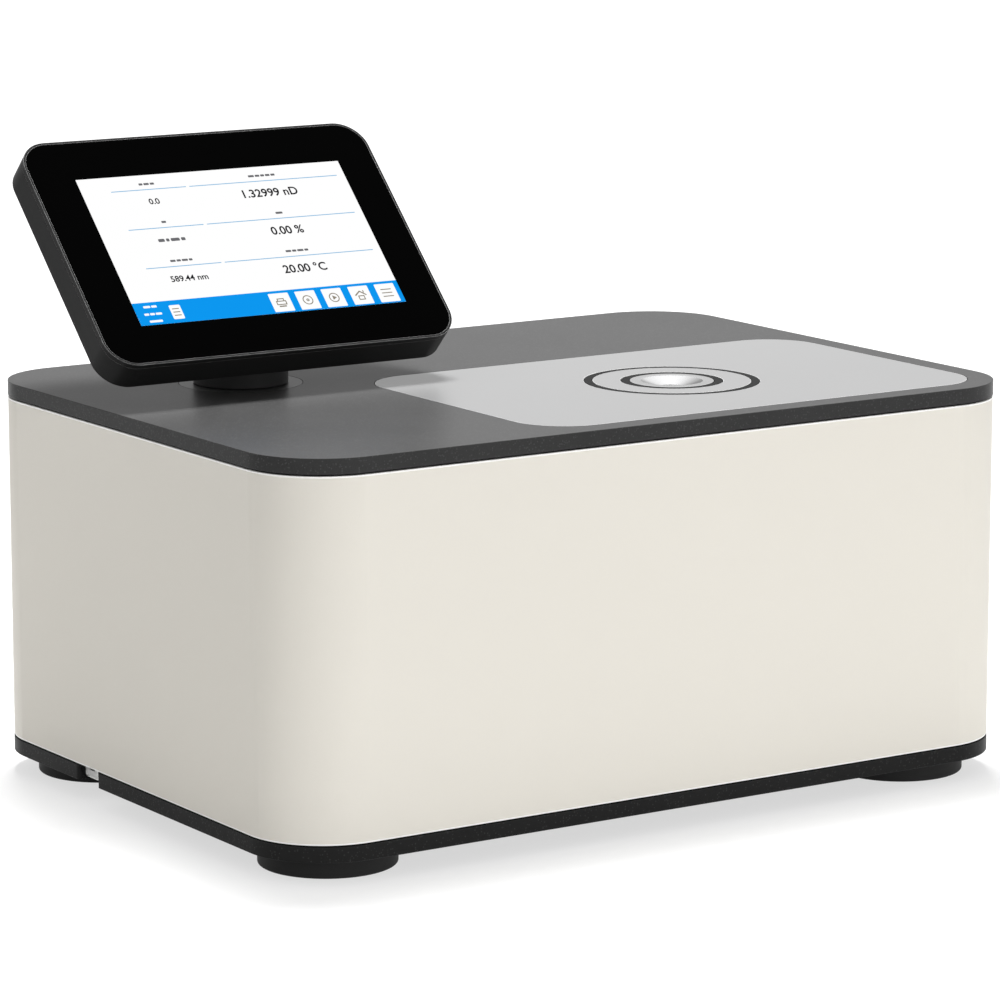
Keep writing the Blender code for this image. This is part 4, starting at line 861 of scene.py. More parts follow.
def turned(
    name: str, profile: Profile, centre: Place = (0.0, 0.0), sides: int = FEW_SIDES, ring: bool = False
) -> Piece:
    """A (radius, height) profile turned about an upright line, one extruded circle after the other.

    Args:
        name: Name of the piece.
        profile: Its section, from one end to the other, or once round it for a ring.
        centre: Plan position of the line.
        sides: Faces around it.
        ring: Whether the section closes on itself. Otherwise both ends are capped.

    Returns:
        The turned piece, at the origin.
    """
    clear_selection()
    (radius, height), *rest = profile
    fill = "NOTHING" if ring else "NGON"
    bpy.ops.mesh.primitive_circle_add(
        vertices=sides, radius=radius, fill_type=fill, location=(centre[0], centre[1], height)
    )
    piece = name_piece(bpy.context.active_object, name)
    bpy.context.tool_settings.mesh_select_mode = (True, False, False)
    bpy.ops.object.mode_set(mode="EDIT")
    bpy.ops.mesh.select_all(action="SELECT")
    if ring:
        rest.append(profile[0])
    for next_radius, next_height in rest:
        rise = (0.0, 0.0, next_height - height)
        bpy.ops.mesh.extrude_region_move(TRANSFORM_OT_translate={"value": rise})
        share = next_radius / radius
        middle = (centre[0], centre[1], next_height)
        bpy.ops.transform.resize(value=(share, share, 1.0), center_override=middle)
        radius, height = next_radius, next_height
    clean_mesh(TOUCH)
    return settle(piece)


def rod(
    name: str, radius: float, low: float, high: float, centre: Place = (0.0, 0.0), sides: int = FEW_SIDES
) -> Piece:
    """An upright rod between two heights, around a plan position."""
    return turned(name, ((radius, low), (radius, high)), centre, sides)


def sleeve(
    name: str, radii: Place, low: float, high: float, centre: Place = (0.0, 0.0), sides: int = FEW_SIDES
) -> Piece:
    """An upright tube with an inner and an outer radius between two heights."""
    profile = ((radii[0], low), (radii[1], low), (radii[1], high), (radii[0], high))
    return turned(name, profile, centre, sides, ring=True)


def shares(steps: int) -> list[float]:
    """Equal steps from zero to one."""
    return [step / steps for step in range(steps + 1)]


def rim_arc(radius: float, height: float, size: float, inward: float) -> list[Pair]:
    """Profile points of a rounded rim, from its side to its face.

    Args:
        radius: Radius of the side.
        height: Height of the face.
        size: Radius of the rounding.
        inward: One where the piece lies above the face, and minus one where it lies below.

    Returns:
        The points.
    """
    side = radius - size
    turns = [math.pi / 2 * share for share in shares(FEW_STEPS)]
    return [
        (side + size * math.cos(turn), height + inward * size * (1.0 - math.sin(turn))) for turn in turns
    ]


def middle_of(node: str) -> Vector:
    """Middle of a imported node's box."""
    low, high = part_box(node)
    return (low + high) / 2


def half_width(node: str) -> float:
    """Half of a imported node's width, which is the radius of an upright round one."""
    low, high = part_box(node)
    return (high.x - low.x) / 2


def mark_faces(piece: Piece, finish: Finish, test: Test) -> None:
    """Give some faces of a dressed piece a second finish.

    Args:
        piece: The dressed piece.
        finish: The second finish.
        test: Tells from a face's centre and normal whether it gets it.
    """
    piece.data.materials.append(finish.material())
    pick(piece, test)
    piece.active_material_index = len(piece.data.materials) - 1
    bpy.ops.object.material_slot_assign()
    close_edit()


def hand_over(piece: Piece, finish: Finish, *nodes: str, body: Body = Body.INSTRUMENT) -> None:
    """Dress a finished piece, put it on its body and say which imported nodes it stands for.

    Args:
        piece: The finished piece.
        finish: Its finish.
        *nodes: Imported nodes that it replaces.
        body: The body it rides on.
    """
    finish.dress(piece)
    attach(piece, body.value)
    if nodes:
        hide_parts(*nodes)
    faces = len(piece.data.polygons)
    LOG.info("%s: %d faces on %s, in place of %s", piece.name, faces, body.value, ", ".join(nodes) or "none")


@dataclass(frozen=True)
class Lamp:
    """A square soft lamp, which lights the pieces but isn't mirrored in them."""

    name: str
    place: Place
    aim: Place
    side: float
    watts: float

    def hang(self) -> None:
        """Put the lamp into the scene."""
        data = bpy.data.lights.new(self.name, "AREA")
        data.shape = "SQUARE"
        data.size = self.side
        data.energy = self.watts
        lamp = bpy.data.objects.new(self.name, data)
        bpy.context.scene.collection.objects.link(lamp)
        lamp.visible_glossy = False
        lamp.location = self.place
        lamp.rotation_euler = (Vector(self.aim) - Vector(self.place)).to_track_quat("-Z", "Y").to_euler()


@dataclass
class Studio:
    """Pale floor, soft lamps and the camera at the photograph's viewing angle."""

    frame_pixels: float = 1000.0
    focal_pixels: float = 4732.99
    sensor_width_mm: float = 36.0
    camera_azimuth: float = math.radians(-33.2502)
    camera_elevation: float = math.radians(10.6626)
    camera_distance: float = 2.40486
    target: Place = (-0.0003, 0.0, 0.13947)
    sky_strength: float = 0.62
    mirrored_low: float = 0.60
    mirrored_high: float = 1.20
    mirrored_from: float = 0.15
    mirrored_to: float = 0.45
    floor_reach: float = 30.0
    floor_colour: Colour = grey(0.35)
    floor_roughness: float = 0.9
    near: float = 0.4
    far: float = 2.0
    near_lift: float = 0.63
    far_lift: float = 0.95
    lamps: tuple[Lamp, ...] = (
        Lamp("overhead_softbox", (0.15, 0.30, 1.92), (0.0, 0.0, 0.15), 0.6, 84.0),
        Lamp("front_softbox", (0.25, -2.50, 0.15), (0.0, 0.0, 0.05), 1.3, 32.0),
    )

    def build(self) -> None:
        """Set up the whole studio."""
        bpy.context.scene.view_settings.view_transform = "Standard"
        self._camera()
        self._sky()
        self._floor()
        for lamp in self.lamps:
            lamp.hang()
        LOG.info("studio: camera %.2f m from the instrument", self.camera_distance)

    def _camera(self) -> None:
        """Camera that sees the instrument as the photograph does."""
        data = bpy.data.cameras.new("photo_camera")
        data.sensor_fit = "HORIZONTAL"
        data.sensor_width = self.sensor_width_mm
        data.lens = self.focal_pixels / self.frame_pixels * self.sensor_width_mm
        camera = bpy.data.objects.new("photo_camera", data)
        bpy.context.scene.collection.objects.link(camera)
        flat = math.cos(self.camera_elevation)
        across, forward = math.sin(self.camera_azimuth) * flat, math.cos(self.camera_azimuth) * flat
        back = Vector((across, -forward, math.sin(self.camera_elevation)))
        camera.location = Vector(self.target) + back * self.camera_distance
        camera.rotation_euler = (-back).to_track_quat("-Z", "Y").to_euler()
        bpy.context.scene.camera = camera

    def _sky(self) -> None:
        """Even pale light from all round. It is seen as white, and mirrored darker near the horizon."""
        world = bpy.data.worlds.new("studio_sky")
        world.use_nodes = True
        bpy.context.scene.world = world
        wiring = Wiring(world.node_tree)
        background = world.node_tree.nodes["Background"]
        background.inputs["Color"].default_value = (1.0, 1.0, 1.0, 1.0)
        path = wiring.node("LightPath").outputs
        seen = wiring.maths("MAXIMUM", path["Is Camera Ray"], path["Is Transmission Ray"])
        direction = wiring.node("TexCoord").outputs["Generated"]
        rise = wiring.node("SeparateXYZ", Vector=direction).outputs["Z"]
        mirrored = wiring.node(
            "MapRange", {"interpolation_type": "SMOOTHSTEP"}, Value=rise,
            From_Min=self.mirrored_from, From_Max=self.mirrored_to,
            To_Min=self.mirrored_low - self.sky_strength, To_Max=self.mirrored_high - self.sky_strength,
        ).outputs["Result"]
        seen_extra = wiring.maths("MULTIPLY", seen, 1.0 - self.sky_strength)
        mirrored_extra = wiring.maths("MULTIPLY", path["Is Glossy Ray"], mirrored)
        extra = wiring.maths("ADD", seen_extra, mirrored_extra)
        wiring.feed(background.inputs["Strength"], wiring.maths("ADD", extra, self.sky_strength))

    def _floor(self) -> None:
        """Pale floor under the feet, which keeps the instrument's shadow."""
        clear_selection()
        bpy.ops.mesh.primitive_plane_add(size=self.floor_reach, location=(0.0, 0.0, 0.0))
        floor = settle(name_piece(bpy.context.active_object, "studio_floor"))
        material = bpy.data.materials.new("studio_floor")
        material.use_nodes = True
        wiring = Wiring(material.node_tree)
        shader = material.node_tree.nodes["Principled BSDF"]
        shader.inputs["Base Color"].default_value = (*self.floor_colour, 1.0)
        shader.inputs["Roughness"].default_value = self.floor_roughness
        shader.inputs["Specular IOR Level"].default_value = 0.0
        shader.inputs["Emission Color"].default_value = (1.0, 1.0, 1.0, 1.0)
        path = wiring.node("LightPath").outputs
        seen = wiring.maths("MAXIMUM", path["Is Camera Ray"], path["Is Glossy Ray"])
        away = wiring.vectors("LENGTH", wiring.object_point()).outputs["Value"]
        lift = wiring.node(
            "MapRange", Value=away, From_Min=self.near, From_Max=self.far, To_Min=self.near_lift,
            To_Max=self.far_lift,
        ).outputs["Result"]
        wiring.feed(shader.inputs["Emission Strength"], wiring.maths("MULTIPLY", seen, lift))
        floor.data.materials.append(material)


@dataclass
class Casing:
    """Bottom plate, painted wrap and top plate of the body."""

    corner_radius: float = 0.0408
    plate_thickness: float = 0.0083
    wall: float = 0.0020
    plate_edge: float = 0.0003
    wrap_edge: float = 0.0002
    highlight_band: float = 0.0008
    wrap_outset: float = 0.0003
    wrap_drop: float = 0.00025
    wrap_lift: float = 0.0001
    rebate_depth: float = 0.0007
    rebate_width: float = 0.0012
    notch_width: float = 0.0195
    notch_depth: float = 0.0200
    notch_rear_radius: float = 0.0031
    notch_front_radius: float = 0.0008
    intake_count: int = 9
    intake_width: float = 0.0030
    intake_pitch: float = 0.0065
    intake_length: float = 0.0500
    screw_hole_radius: float = 0.0028
    standoff_radius: float = 0.0035
    standoff_inset: float = 0.0080
    window_overlap: float = 0.0060
    window_radius: float = 0.0050
    pocket_radius: float = 0.0283

    def build(self) -> None:
        """Model the three casing pieces."""
        self._bottom_plate()
        self._wrap()
        self._top_plate()

    def _bottom_plate(self) -> None:
        """Charcoal plate with its cable notch, air slots, screw holes and the board's standoffs."""
        low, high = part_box("base_plate")
        top = low.z + self.plate_thickness
        step = top - self.rebate_depth
        plate = rounded_block("bottom_plate", low, (high.x, high.y, step), self.corner_radius)
        self._add_land(plate, low.z + OVERRUN, top, low, high)
        self._cut_notch(plate, low, top)
        sink, half_x, half_y = middle_of("heat_sink"), self.intake_width / 2, self.intake_length / 2
        tools = row_of(
            "intake_tool", (sink.x - half_x, sink.y - half_y, low.z - OVERRUN),
            (sink.x + half_x, sink.y + half_y, top + OVERRUN), self.intake_count, self.intake_pitch,
            half_x - TOUCH,
        )
        for corner in CORNERS:
            centre = middle_of(f"foot_{corner}")
            tools.append(rod("hole_tool", self.screw_hole_radius, low.z - OVERRUN, top + OVERRUN, centre))
        carve(plate, join(tools, "plate_tools"))
        board_low, board_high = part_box("main_board")
        inset, foot = self.standoff_inset, top - self.plate_edge
        bosses = [
            rod("standoff", self.standoff_radius, foot, high.z, (x, y))
            for x in (board_low.x + inset, board_high.x - inset)
            for y in (board_low.y + inset, board_high.y - inset)
        ]
        carve(plate, join(bosses, "standoffs"), Cut.ADD)
        ease(plate, self.plate_edge)
        hand_over(plate, CHARCOAL_COAT, "base_plate")
        # The rebate's faces take the black rubber finish as painted shade: a black seam line between plate
        # and wrap.
        mark_faces(plate, SEAL_RUBBER_AND_SEAM_SHADE, lambda centre, normal: step - TOUCH < centre.z < top - TOUCH)

    def _cut_notch(self, plate: Piece, low: Vector, top: float) -> None:
        """Cut the notch into the left edge of the bottom plate, and round the corners of its mouth.

        Args:
            plate: The plate.
            low: Its lowest corner.
            top: Height of its upper face.
        """
        rear_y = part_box("side_usb_socket")[1].y + SEAT_GAP
        front_y = rear_y - self.notch_width
        notch = rounded_block(
            "notch_tool", (low.x - OVERRUN, front_y, low.z - OVERRUN),
            (low.x + self.notch_depth, rear_y, top + OVERRUN),
        )
        carve(plate, notch)
        upright = parallel(Axis.Z)
        for mouth_y, radius in ((rear_y, self.notch_rear_radius), (front_y, self.notch_front_radius)):
            mouth = Vector((low.x, mouth_y))
            round_edges(
                plate,
                lambda *ends: upright(*ends) and all((end.xy - mouth).length < OVERRUN for end in ends),
                radius,
            )

    def _add_land(
        self, plate: Piece, floor: float, top: float, low: Vector, high: Vector
    ) -> None:
        """Add the part of a plate that meets the wrap, drawn in by the rebate's width.

        Args:
            plate: The plate.
            floor: Height of the part's lower face.
            top: Height of its upper face.
            low: Lowest corner of the whole plate.
            high: Highest corner of the whole plate.
        """
        inset = self.rebate_width
        land = rounded_block(
            "land", (low.x + inset, low.y + inset, floor), (high.x - inset, high.y - inset, top),
            self.corner_radius - inset,
        )
        carve(plate, land, Cut.ADD)

    def _wrap(self) -> None:
        """Ivory painted wrap, a thin shell open above and below, with the connector window at the back, and
        white bands along its top and bottom edges as a painted highlight.
        """
        low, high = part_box("housing_shell")
        low = low - Vector((self.wrap_outset, self.wrap_outset, self.wrap_drop))
        high = high + Vector((self.wrap_outset, self.wrap_outset, self.wrap_lift))
        wrap = rounded_block("painted_wrap", low, high, self.corner_radius)
        pick(wrap, lambda centre, normal: abs(normal.z) > 1.0 - TOUCH)
        bpy.ops.mesh.delete(type="ONLY_FACE")
        close_edit()
        apply_modifier(wrap, "SOLIDIFY", thickness=self.wall, offset=-1.0)
        window = inset_block(
            "window_tool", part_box("rear_panel"), self.window_overlap, high.y - self.wall - OVERRUN,
            high.y + OVERRUN, self.window_radius, MANY_STEPS,
        )
        carve(wrap, window)
        ease(wrap, self.wrap_edge)
        # The bands at the wrap's top and bottom edges get a white finish as a painted highlight.
        floor, ceiling = low.z + self.highlight_band, high.z - self.highlight_band
        for height in (floor, ceiling):
            slice_piece(wrap, (0.0, 0.0, height), UP)
        hand_over(wrap, IVORY_PAINT, "housing_shell")
        mark_faces(wrap, PAINTED_EDGE_HIGHLIGHT, lambda centre, normal: not floor < centre.z < ceiling)

    def _top_plate(self) -> None:
        """Anthracite plate with the pockets for the sample plate and the display's disc."""
        low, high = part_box("top_plate")
        step = low.z + self.rebate_depth
        plate = rounded_block("deck_plate", (low.x, low.y, step), high, self.corner_radius)
        self._add_land(plate, low.z, high.z - OVERRUN, low, high)
        sample_low, sample_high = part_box("sample_plate")
        gap = Vector((SEAT_GAP, SEAT_GAP, SEAT_GAP))
        pocket = rounded_block(
            "pocket_tool", sample_low - gap, sample_high + gap + UP * OVERRUN, self.pocket_radius
        )
        carve(plate, pocket)
        below, above = low.z - OVERRUN, high.z + OVERRUN
        disc_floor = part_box("swivel_disc")[0].z - SEAT_GAP
        cuts = (
            ("outer_seal_ring", half_width("outer_seal_ring"), below, above),
            ("swivel_disc", half_width("swivel_disc"), disc_floor, above),
            ("swivel_disc", Swivel.bush_radius, below, high.z),
        )
        for node, radius, start, end in cuts:
            carve(plate, rod("round_tool", radius + SEAT_GAP, start, end, middle_of(node), MANY_SIDES))
        ease(plate, self.plate_edge)
        hand_over(plate, ANTHRACITE_COAT, "top_plate")
        # The rebate's faces take the black rubber finish as painted shade: a black seam line between plate
        # and wrap.
        mark_faces(plate, SEAL_RUBBER_AND_SEAM_SHADE, lambda centre, normal: low.z + TOUCH < centre.z < step + TOUCH)


@dataclass
class Feet:
    """Four fat rubber feet and the screws through them."""

    edge: float = 0.0012
    sunk_radius: float = 0.0053
    sunk_depth: float = 0.0058
    hole_radius: float = 0.0028
    head_radius: float = 0.0050
    head_height: float = 0.0035
    shank_radius: float = 0.0025
    key_radius: float = 0.0023
    key_depth: float = 0.0020
    key_sides: int = 6
    head_edge: float = 0.0003

    def build(self) -> None:
        """Model one foot and one screw, and copy them to the other corners."""
        first = CORNERS[0]
        start = middle_of(f"foot_{first}")
        foot, screw = self._foot(f"foot_{first}"), self._screw(f"foot_screw_{first}")
        for corner in CORNERS:
            shift = Matrix.Translation(middle_of(f"foot_{corner}") - start)
            rubber = copy_of(foot, shift, f"rubber_foot_{corner}")
            hand_over(rubber, FOOT_RUBBER, f"foot_{corner}")
            bolt = copy_of(screw, shift, f"foot_bolt_{corner}")
            hand_over(bolt, ZINC_STEEL, f"foot_screw_{corner}")
        for pattern in (foot, screw):
            bpy.data.objects.remove(pattern, do_unlink=True)

    def _foot(self, node: str) -> Piece:
        """A turned foot with a round lower edge and a sunk screw hole.

        Args:
            node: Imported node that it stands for.

        Returns:
            The foot.
        """
        low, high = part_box(node)
        radius = half_width(node)
        profile = [
            (self.sunk_radius, low.z),
            *reversed(rim_arc(radius, low.z, self.edge, 1.0)),
            (radius, high.z),
            (self.hole_radius, high.z),
            (self.hole_radius, self.sunk_depth),
            (self.sunk_radius, self.sunk_depth),
        ]
        return ease(turned("foot_pattern", profile, middle_of(node), MANY_SIDES, ring=True), 0.0)

    def _screw(self, node: str) -> Piece:
        """A screw whose head has a six-sided key hole.

        Args:
            node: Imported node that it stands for.

        Returns:
            The screw.
        """
        low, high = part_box(node)
        head_top = low.z + self.head_height
        profile = (
            (self.head_radius, low.z),
            (self.head_radius, head_top),
            (self.shank_radius, head_top),
            (self.shank_radius, high.z),
        )
        centre = middle_of(node)
        screw = turned("screw_pattern", profile, centre)
        start, end = low.z - OVERRUN, low.z + self.key_depth
        carve(screw, rod("key_tool", self.key_radius, start, end, centre, self.key_sides))
        return ease(screw, self.head_edge)


@dataclass
class Stage:
    """Sample plate and the measuring stage let into it."""

    plate_radius: float = 0.0280
    plate_edge: float = 0.00025
    ring_edge: float = 0.00012
    rim_width: float = 0.0052
    bowl_steps: int = 12
    bowl_sag: float = 0.0002
    seal_crown: float = 0.00008
    seal_rise: float = 0.00035
    prism_radius: float = 0.0065
    collar_radius: float = 0.0090
    collar_height: float = 0.0020
    facet_angle: float = math.radians(60)

    def build(self) -> None:
        """Model the plate, the rings, the dish and the prism."""
        self._sample_plate()
        self._ring("outer_seal", "outer_seal_ring", "stage_ring", SEAL_RUBBER_AND_SEAM_SHADE, self.seal_crown)
        self._ring("stage_land", "stage_ring", "inner_seal_ring", SATIN_SILVER, 0.0)
        self._ring("inner_seal", "inner_seal_ring", "prism_dish", SEAL_RUBBER_AND_SEAM_SHADE, self.seal_crown)
        self._dish()
        self._prism()

    def _sample_plate(self) -> None:
        """Silver plate with round corners and the round hole for the stage."""
        low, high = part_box("sample_plate")
        plate = rounded_block("silver_plate", low, high, self.plate_radius)
        radius, centre = half_width("outer_seal_ring") + SEAT_GAP, middle_of("outer_seal_ring")
        carve(plate, rod("stage_tool", radius, low.z - OVERRUN, high.z + OVERRUN, centre, MANY_SIDES))
        ease(plate, self.plate_edge)
        hand_over(plate, SATIN_SILVER, "sample_plate")

    def _ring(self, name: str, node: str, inner_node: str, finish: Finish, crown: float) -> None:
        """One ring of the stage.

        Args:
            name: Name of the piece.
            node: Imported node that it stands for.
            inner_node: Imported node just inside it.
            finish: Its finish.
            crown: How far its top face drops towards its edges.
        """
        low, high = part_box(node)
        high = high + UP * (self.seal_rise if crown else 0.0)
        outer = half_width(node)
        inner = half_width(inner_node) + SEAT_GAP
        top = [
            (outer + (inner - outer) * share, high.z - crown * (2 * share - 1) ** 2)
            for share in shares(FEW_STEPS)
        ]
        profile = [(inner, low.z), (outer, low.z), *top]
        ring = turned(name, profile, middle_of(node), MANY_SIDES, ring=True)
        hand_over(ease(ring, self.ring_edge), finish, node)

    def _dish(self) -> None:
        """Polished dish with a flat rim, whose wall sags a little on its way down to the prism."""
        low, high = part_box("prism_dish")
        outer, hole = half_width("prism_dish"), self.prism_radius + SEAT_GAP
        start = outer - self.rim_width
        depth = high.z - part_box("measuring_prism")[1].z
        wall = []
        for share in shares(self.bowl_steps):
            drop = depth * share + self.bowl_sag * math.sin(math.pi * share)
            wall.append((start + (hole - start) * share, high.z - drop))
        profile = [(hole, low.z), (outer, low.z), (outer, high.z), *wall]
        dish = turned("prism_bowl", profile, middle_of("prism_dish"), MANY_SIDES, ring=True)
        hand_over(ease(dish, self.ring_edge), POLISHED_STEEL, "prism_dish")

    def _prism(self) -> None:
        """Sapphire prism: a collared rod whose lower end is ground to two facets."""
        low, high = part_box("measuring_prism")
        collar_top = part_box("prism_dish")[0].z - SEAT_GAP
        collar_floor = collar_top - self.collar_height
        centre = middle_of("measuring_prism")
        profile = (
            (self.prism_radius, low.z),
            (self.prism_radius, collar_floor),
            (self.collar_radius, collar_floor),
            (self.collar_radius, collar_top),
            (self.prism_radius, collar_top),
            (self.prism_radius, high.z),
        )
        prism = turned("sapphire_prism", profile, centre)
        for side in SIDES:
            away = Vector((side * math.sin(self.facet_angle), 0.0, -math.cos(self.facet_angle)))
            slice_piece(prism, (centre.x, centre.y, low.z), away, use_fill=True, clear_outer=True)
        hand_over(ease(prism, self.ring_edge / 2), SAPPHIRE, "measuring_prism")


@dataclass
class Swivel:
    """Disc, stem and hinge that carry the display."""

    bush_radius: float = 0.0163
    neck_radius: float = 0.0120
    bore_radius: float = 0.0060
    disc_growth: float = 0.6 * SEAT_GAP
    column_radius: float = 0.0239
    column_height: float = 0.0140
    column_edge: float = 0.0008
    ear_inner: float = 0.0150
    ear_thickness: float = 0.0065
    ear_radius: float = 0.0085
    pin_radius: float = 0.0030
    pin_head_radius: float = 0.0050
    pin_head_height: float = 0.0018
    slot_width: float = 0.0010
    slot_depth: float = 0.0006
    small_edge: float = 0.0004

    def build(self) -> None:
        """Model the disc, the stem with its ears, the pin and the washers."""
        self._disc()
        self._column()
        self._pin()
        for side in ("left", "right"):
            self._washer(f"hinge_washer_{side}", f"friction_washer_{side}")

    def _disc(self) -> None:
        """Flush disc in the top plate under the stem."""
        low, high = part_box("swivel_disc")
        radii = self.neck_radius + SEAT_GAP, half_width("swivel_disc") + self.disc_growth
        disc = sleeve("pivot_disc", radii, low.z, high.z, middle_of("swivel_disc"), MANY_SIDES)
        hand_over(ease(disc, self.small_edge), DISC_GREY, "swivel_disc")

    def _column(self) -> None:
        """Round stem with a neck below, two ears above and a cable bore through it."""
        low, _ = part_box("swivel_column")
        axis = middle_of("tilt_pin")
        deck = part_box("swivel_disc")[1].z
        shoulder, top = deck + SEAT_GAP, deck + self.column_height
        profile = (
            (self.bore_radius, low.z),
            (self.neck_radius, low.z),
            (self.neck_radius, shoulder),
            (self.column_radius, shoulder),
            *rim_arc(self.column_radius, top, self.column_edge, -1.0),
            (self.bore_radius, top),
        )
        column = turned("pivot_stem", profile, axis, MANY_SIDES, ring=True)
        ear_outer = self.ear_inner + self.ear_thickness
        along_x = parallel(Axis.X)
        for side in SIDES:
            start, end = sorted((side * self.ear_inner, side * ear_outer))
            ear = rounded_block(
                "ear", (axis.x + start, axis.y - self.ear_radius, top - self.column_edge),
                (axis.x + end, axis.y + self.ear_radius, axis.z + self.ear_radius),
            )
            radius = self.ear_radius - TOUCH
            round_edges(ear, lambda *ends: along_x(*ends) and ends[0].z > axis.z, radius, MANY_STEPS)
            carve(column, ear, Cut.ADD)
        reach = ear_outer + OVERRUN
        drill = rod("pin_tool", self.pin_radius + SEAT_GAP, -reach, reach)
        carve(column, put(drill, Matrix.Translation(axis) @ LAID_ALONG_X))
        hand_over(ease(column, self.small_edge), MOULDED_BLACK, "swivel_column", body=Body.SWIVEL)

    def _pin(self) -> None:
        """Tilt pin with two slotted heads."""
        half = half_width("tilt_pin")
        inner = half - self.pin_head_height
        profile = (
            (self.pin_head_radius, -half),
            (self.pin_head_radius, -inner),
            (self.pin_radius, -inner),
            (self.pin_radius, inner),
            (self.pin_head_radius, inner),
            (self.pin_head_radius, half),
        )
        pin = turned("tilt_axle", profile)
        for side in SIDES:
            start, end = sorted((side * (half - self.slot_depth), side * (half + OVERRUN)))
            slot = rounded_block(
                "slot_tool", (-self.slot_width / 2, -self.pin_head_radius - OVERRUN, start),
                (self.slot_width / 2, self.pin_head_radius + OVERRUN, end),
            )
            carve(pin, slot)
        ease(pin, self.small_edge / 2)
        put(pin, Matrix.Translation(middle_of("tilt_pin")) @ LAID_ALONG_X)
        hand_over(pin, ZINC_STEEL, "tilt_pin", body=Body.SWIVEL)

    def _washer(self, name: str, node: str) -> None:
        """One bronze friction washer.

        Args:
            name: Name of the piece.
            node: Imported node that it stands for.
        """
        low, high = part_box(node)
        half, radius = (high.x - low.x) / 2, (high.z - low.z) / 2
        washer = sleeve(name, (self.pin_radius + SEAT_GAP, radius), -half, half)
        ease(washer, self.small_edge / 4)
        put(washer, Matrix.Translation(middle_of(node)) @ LAID_ALONG_X)
        hand_over(washer, TURNED_BRONZE, node, body=Body.SWIVEL)


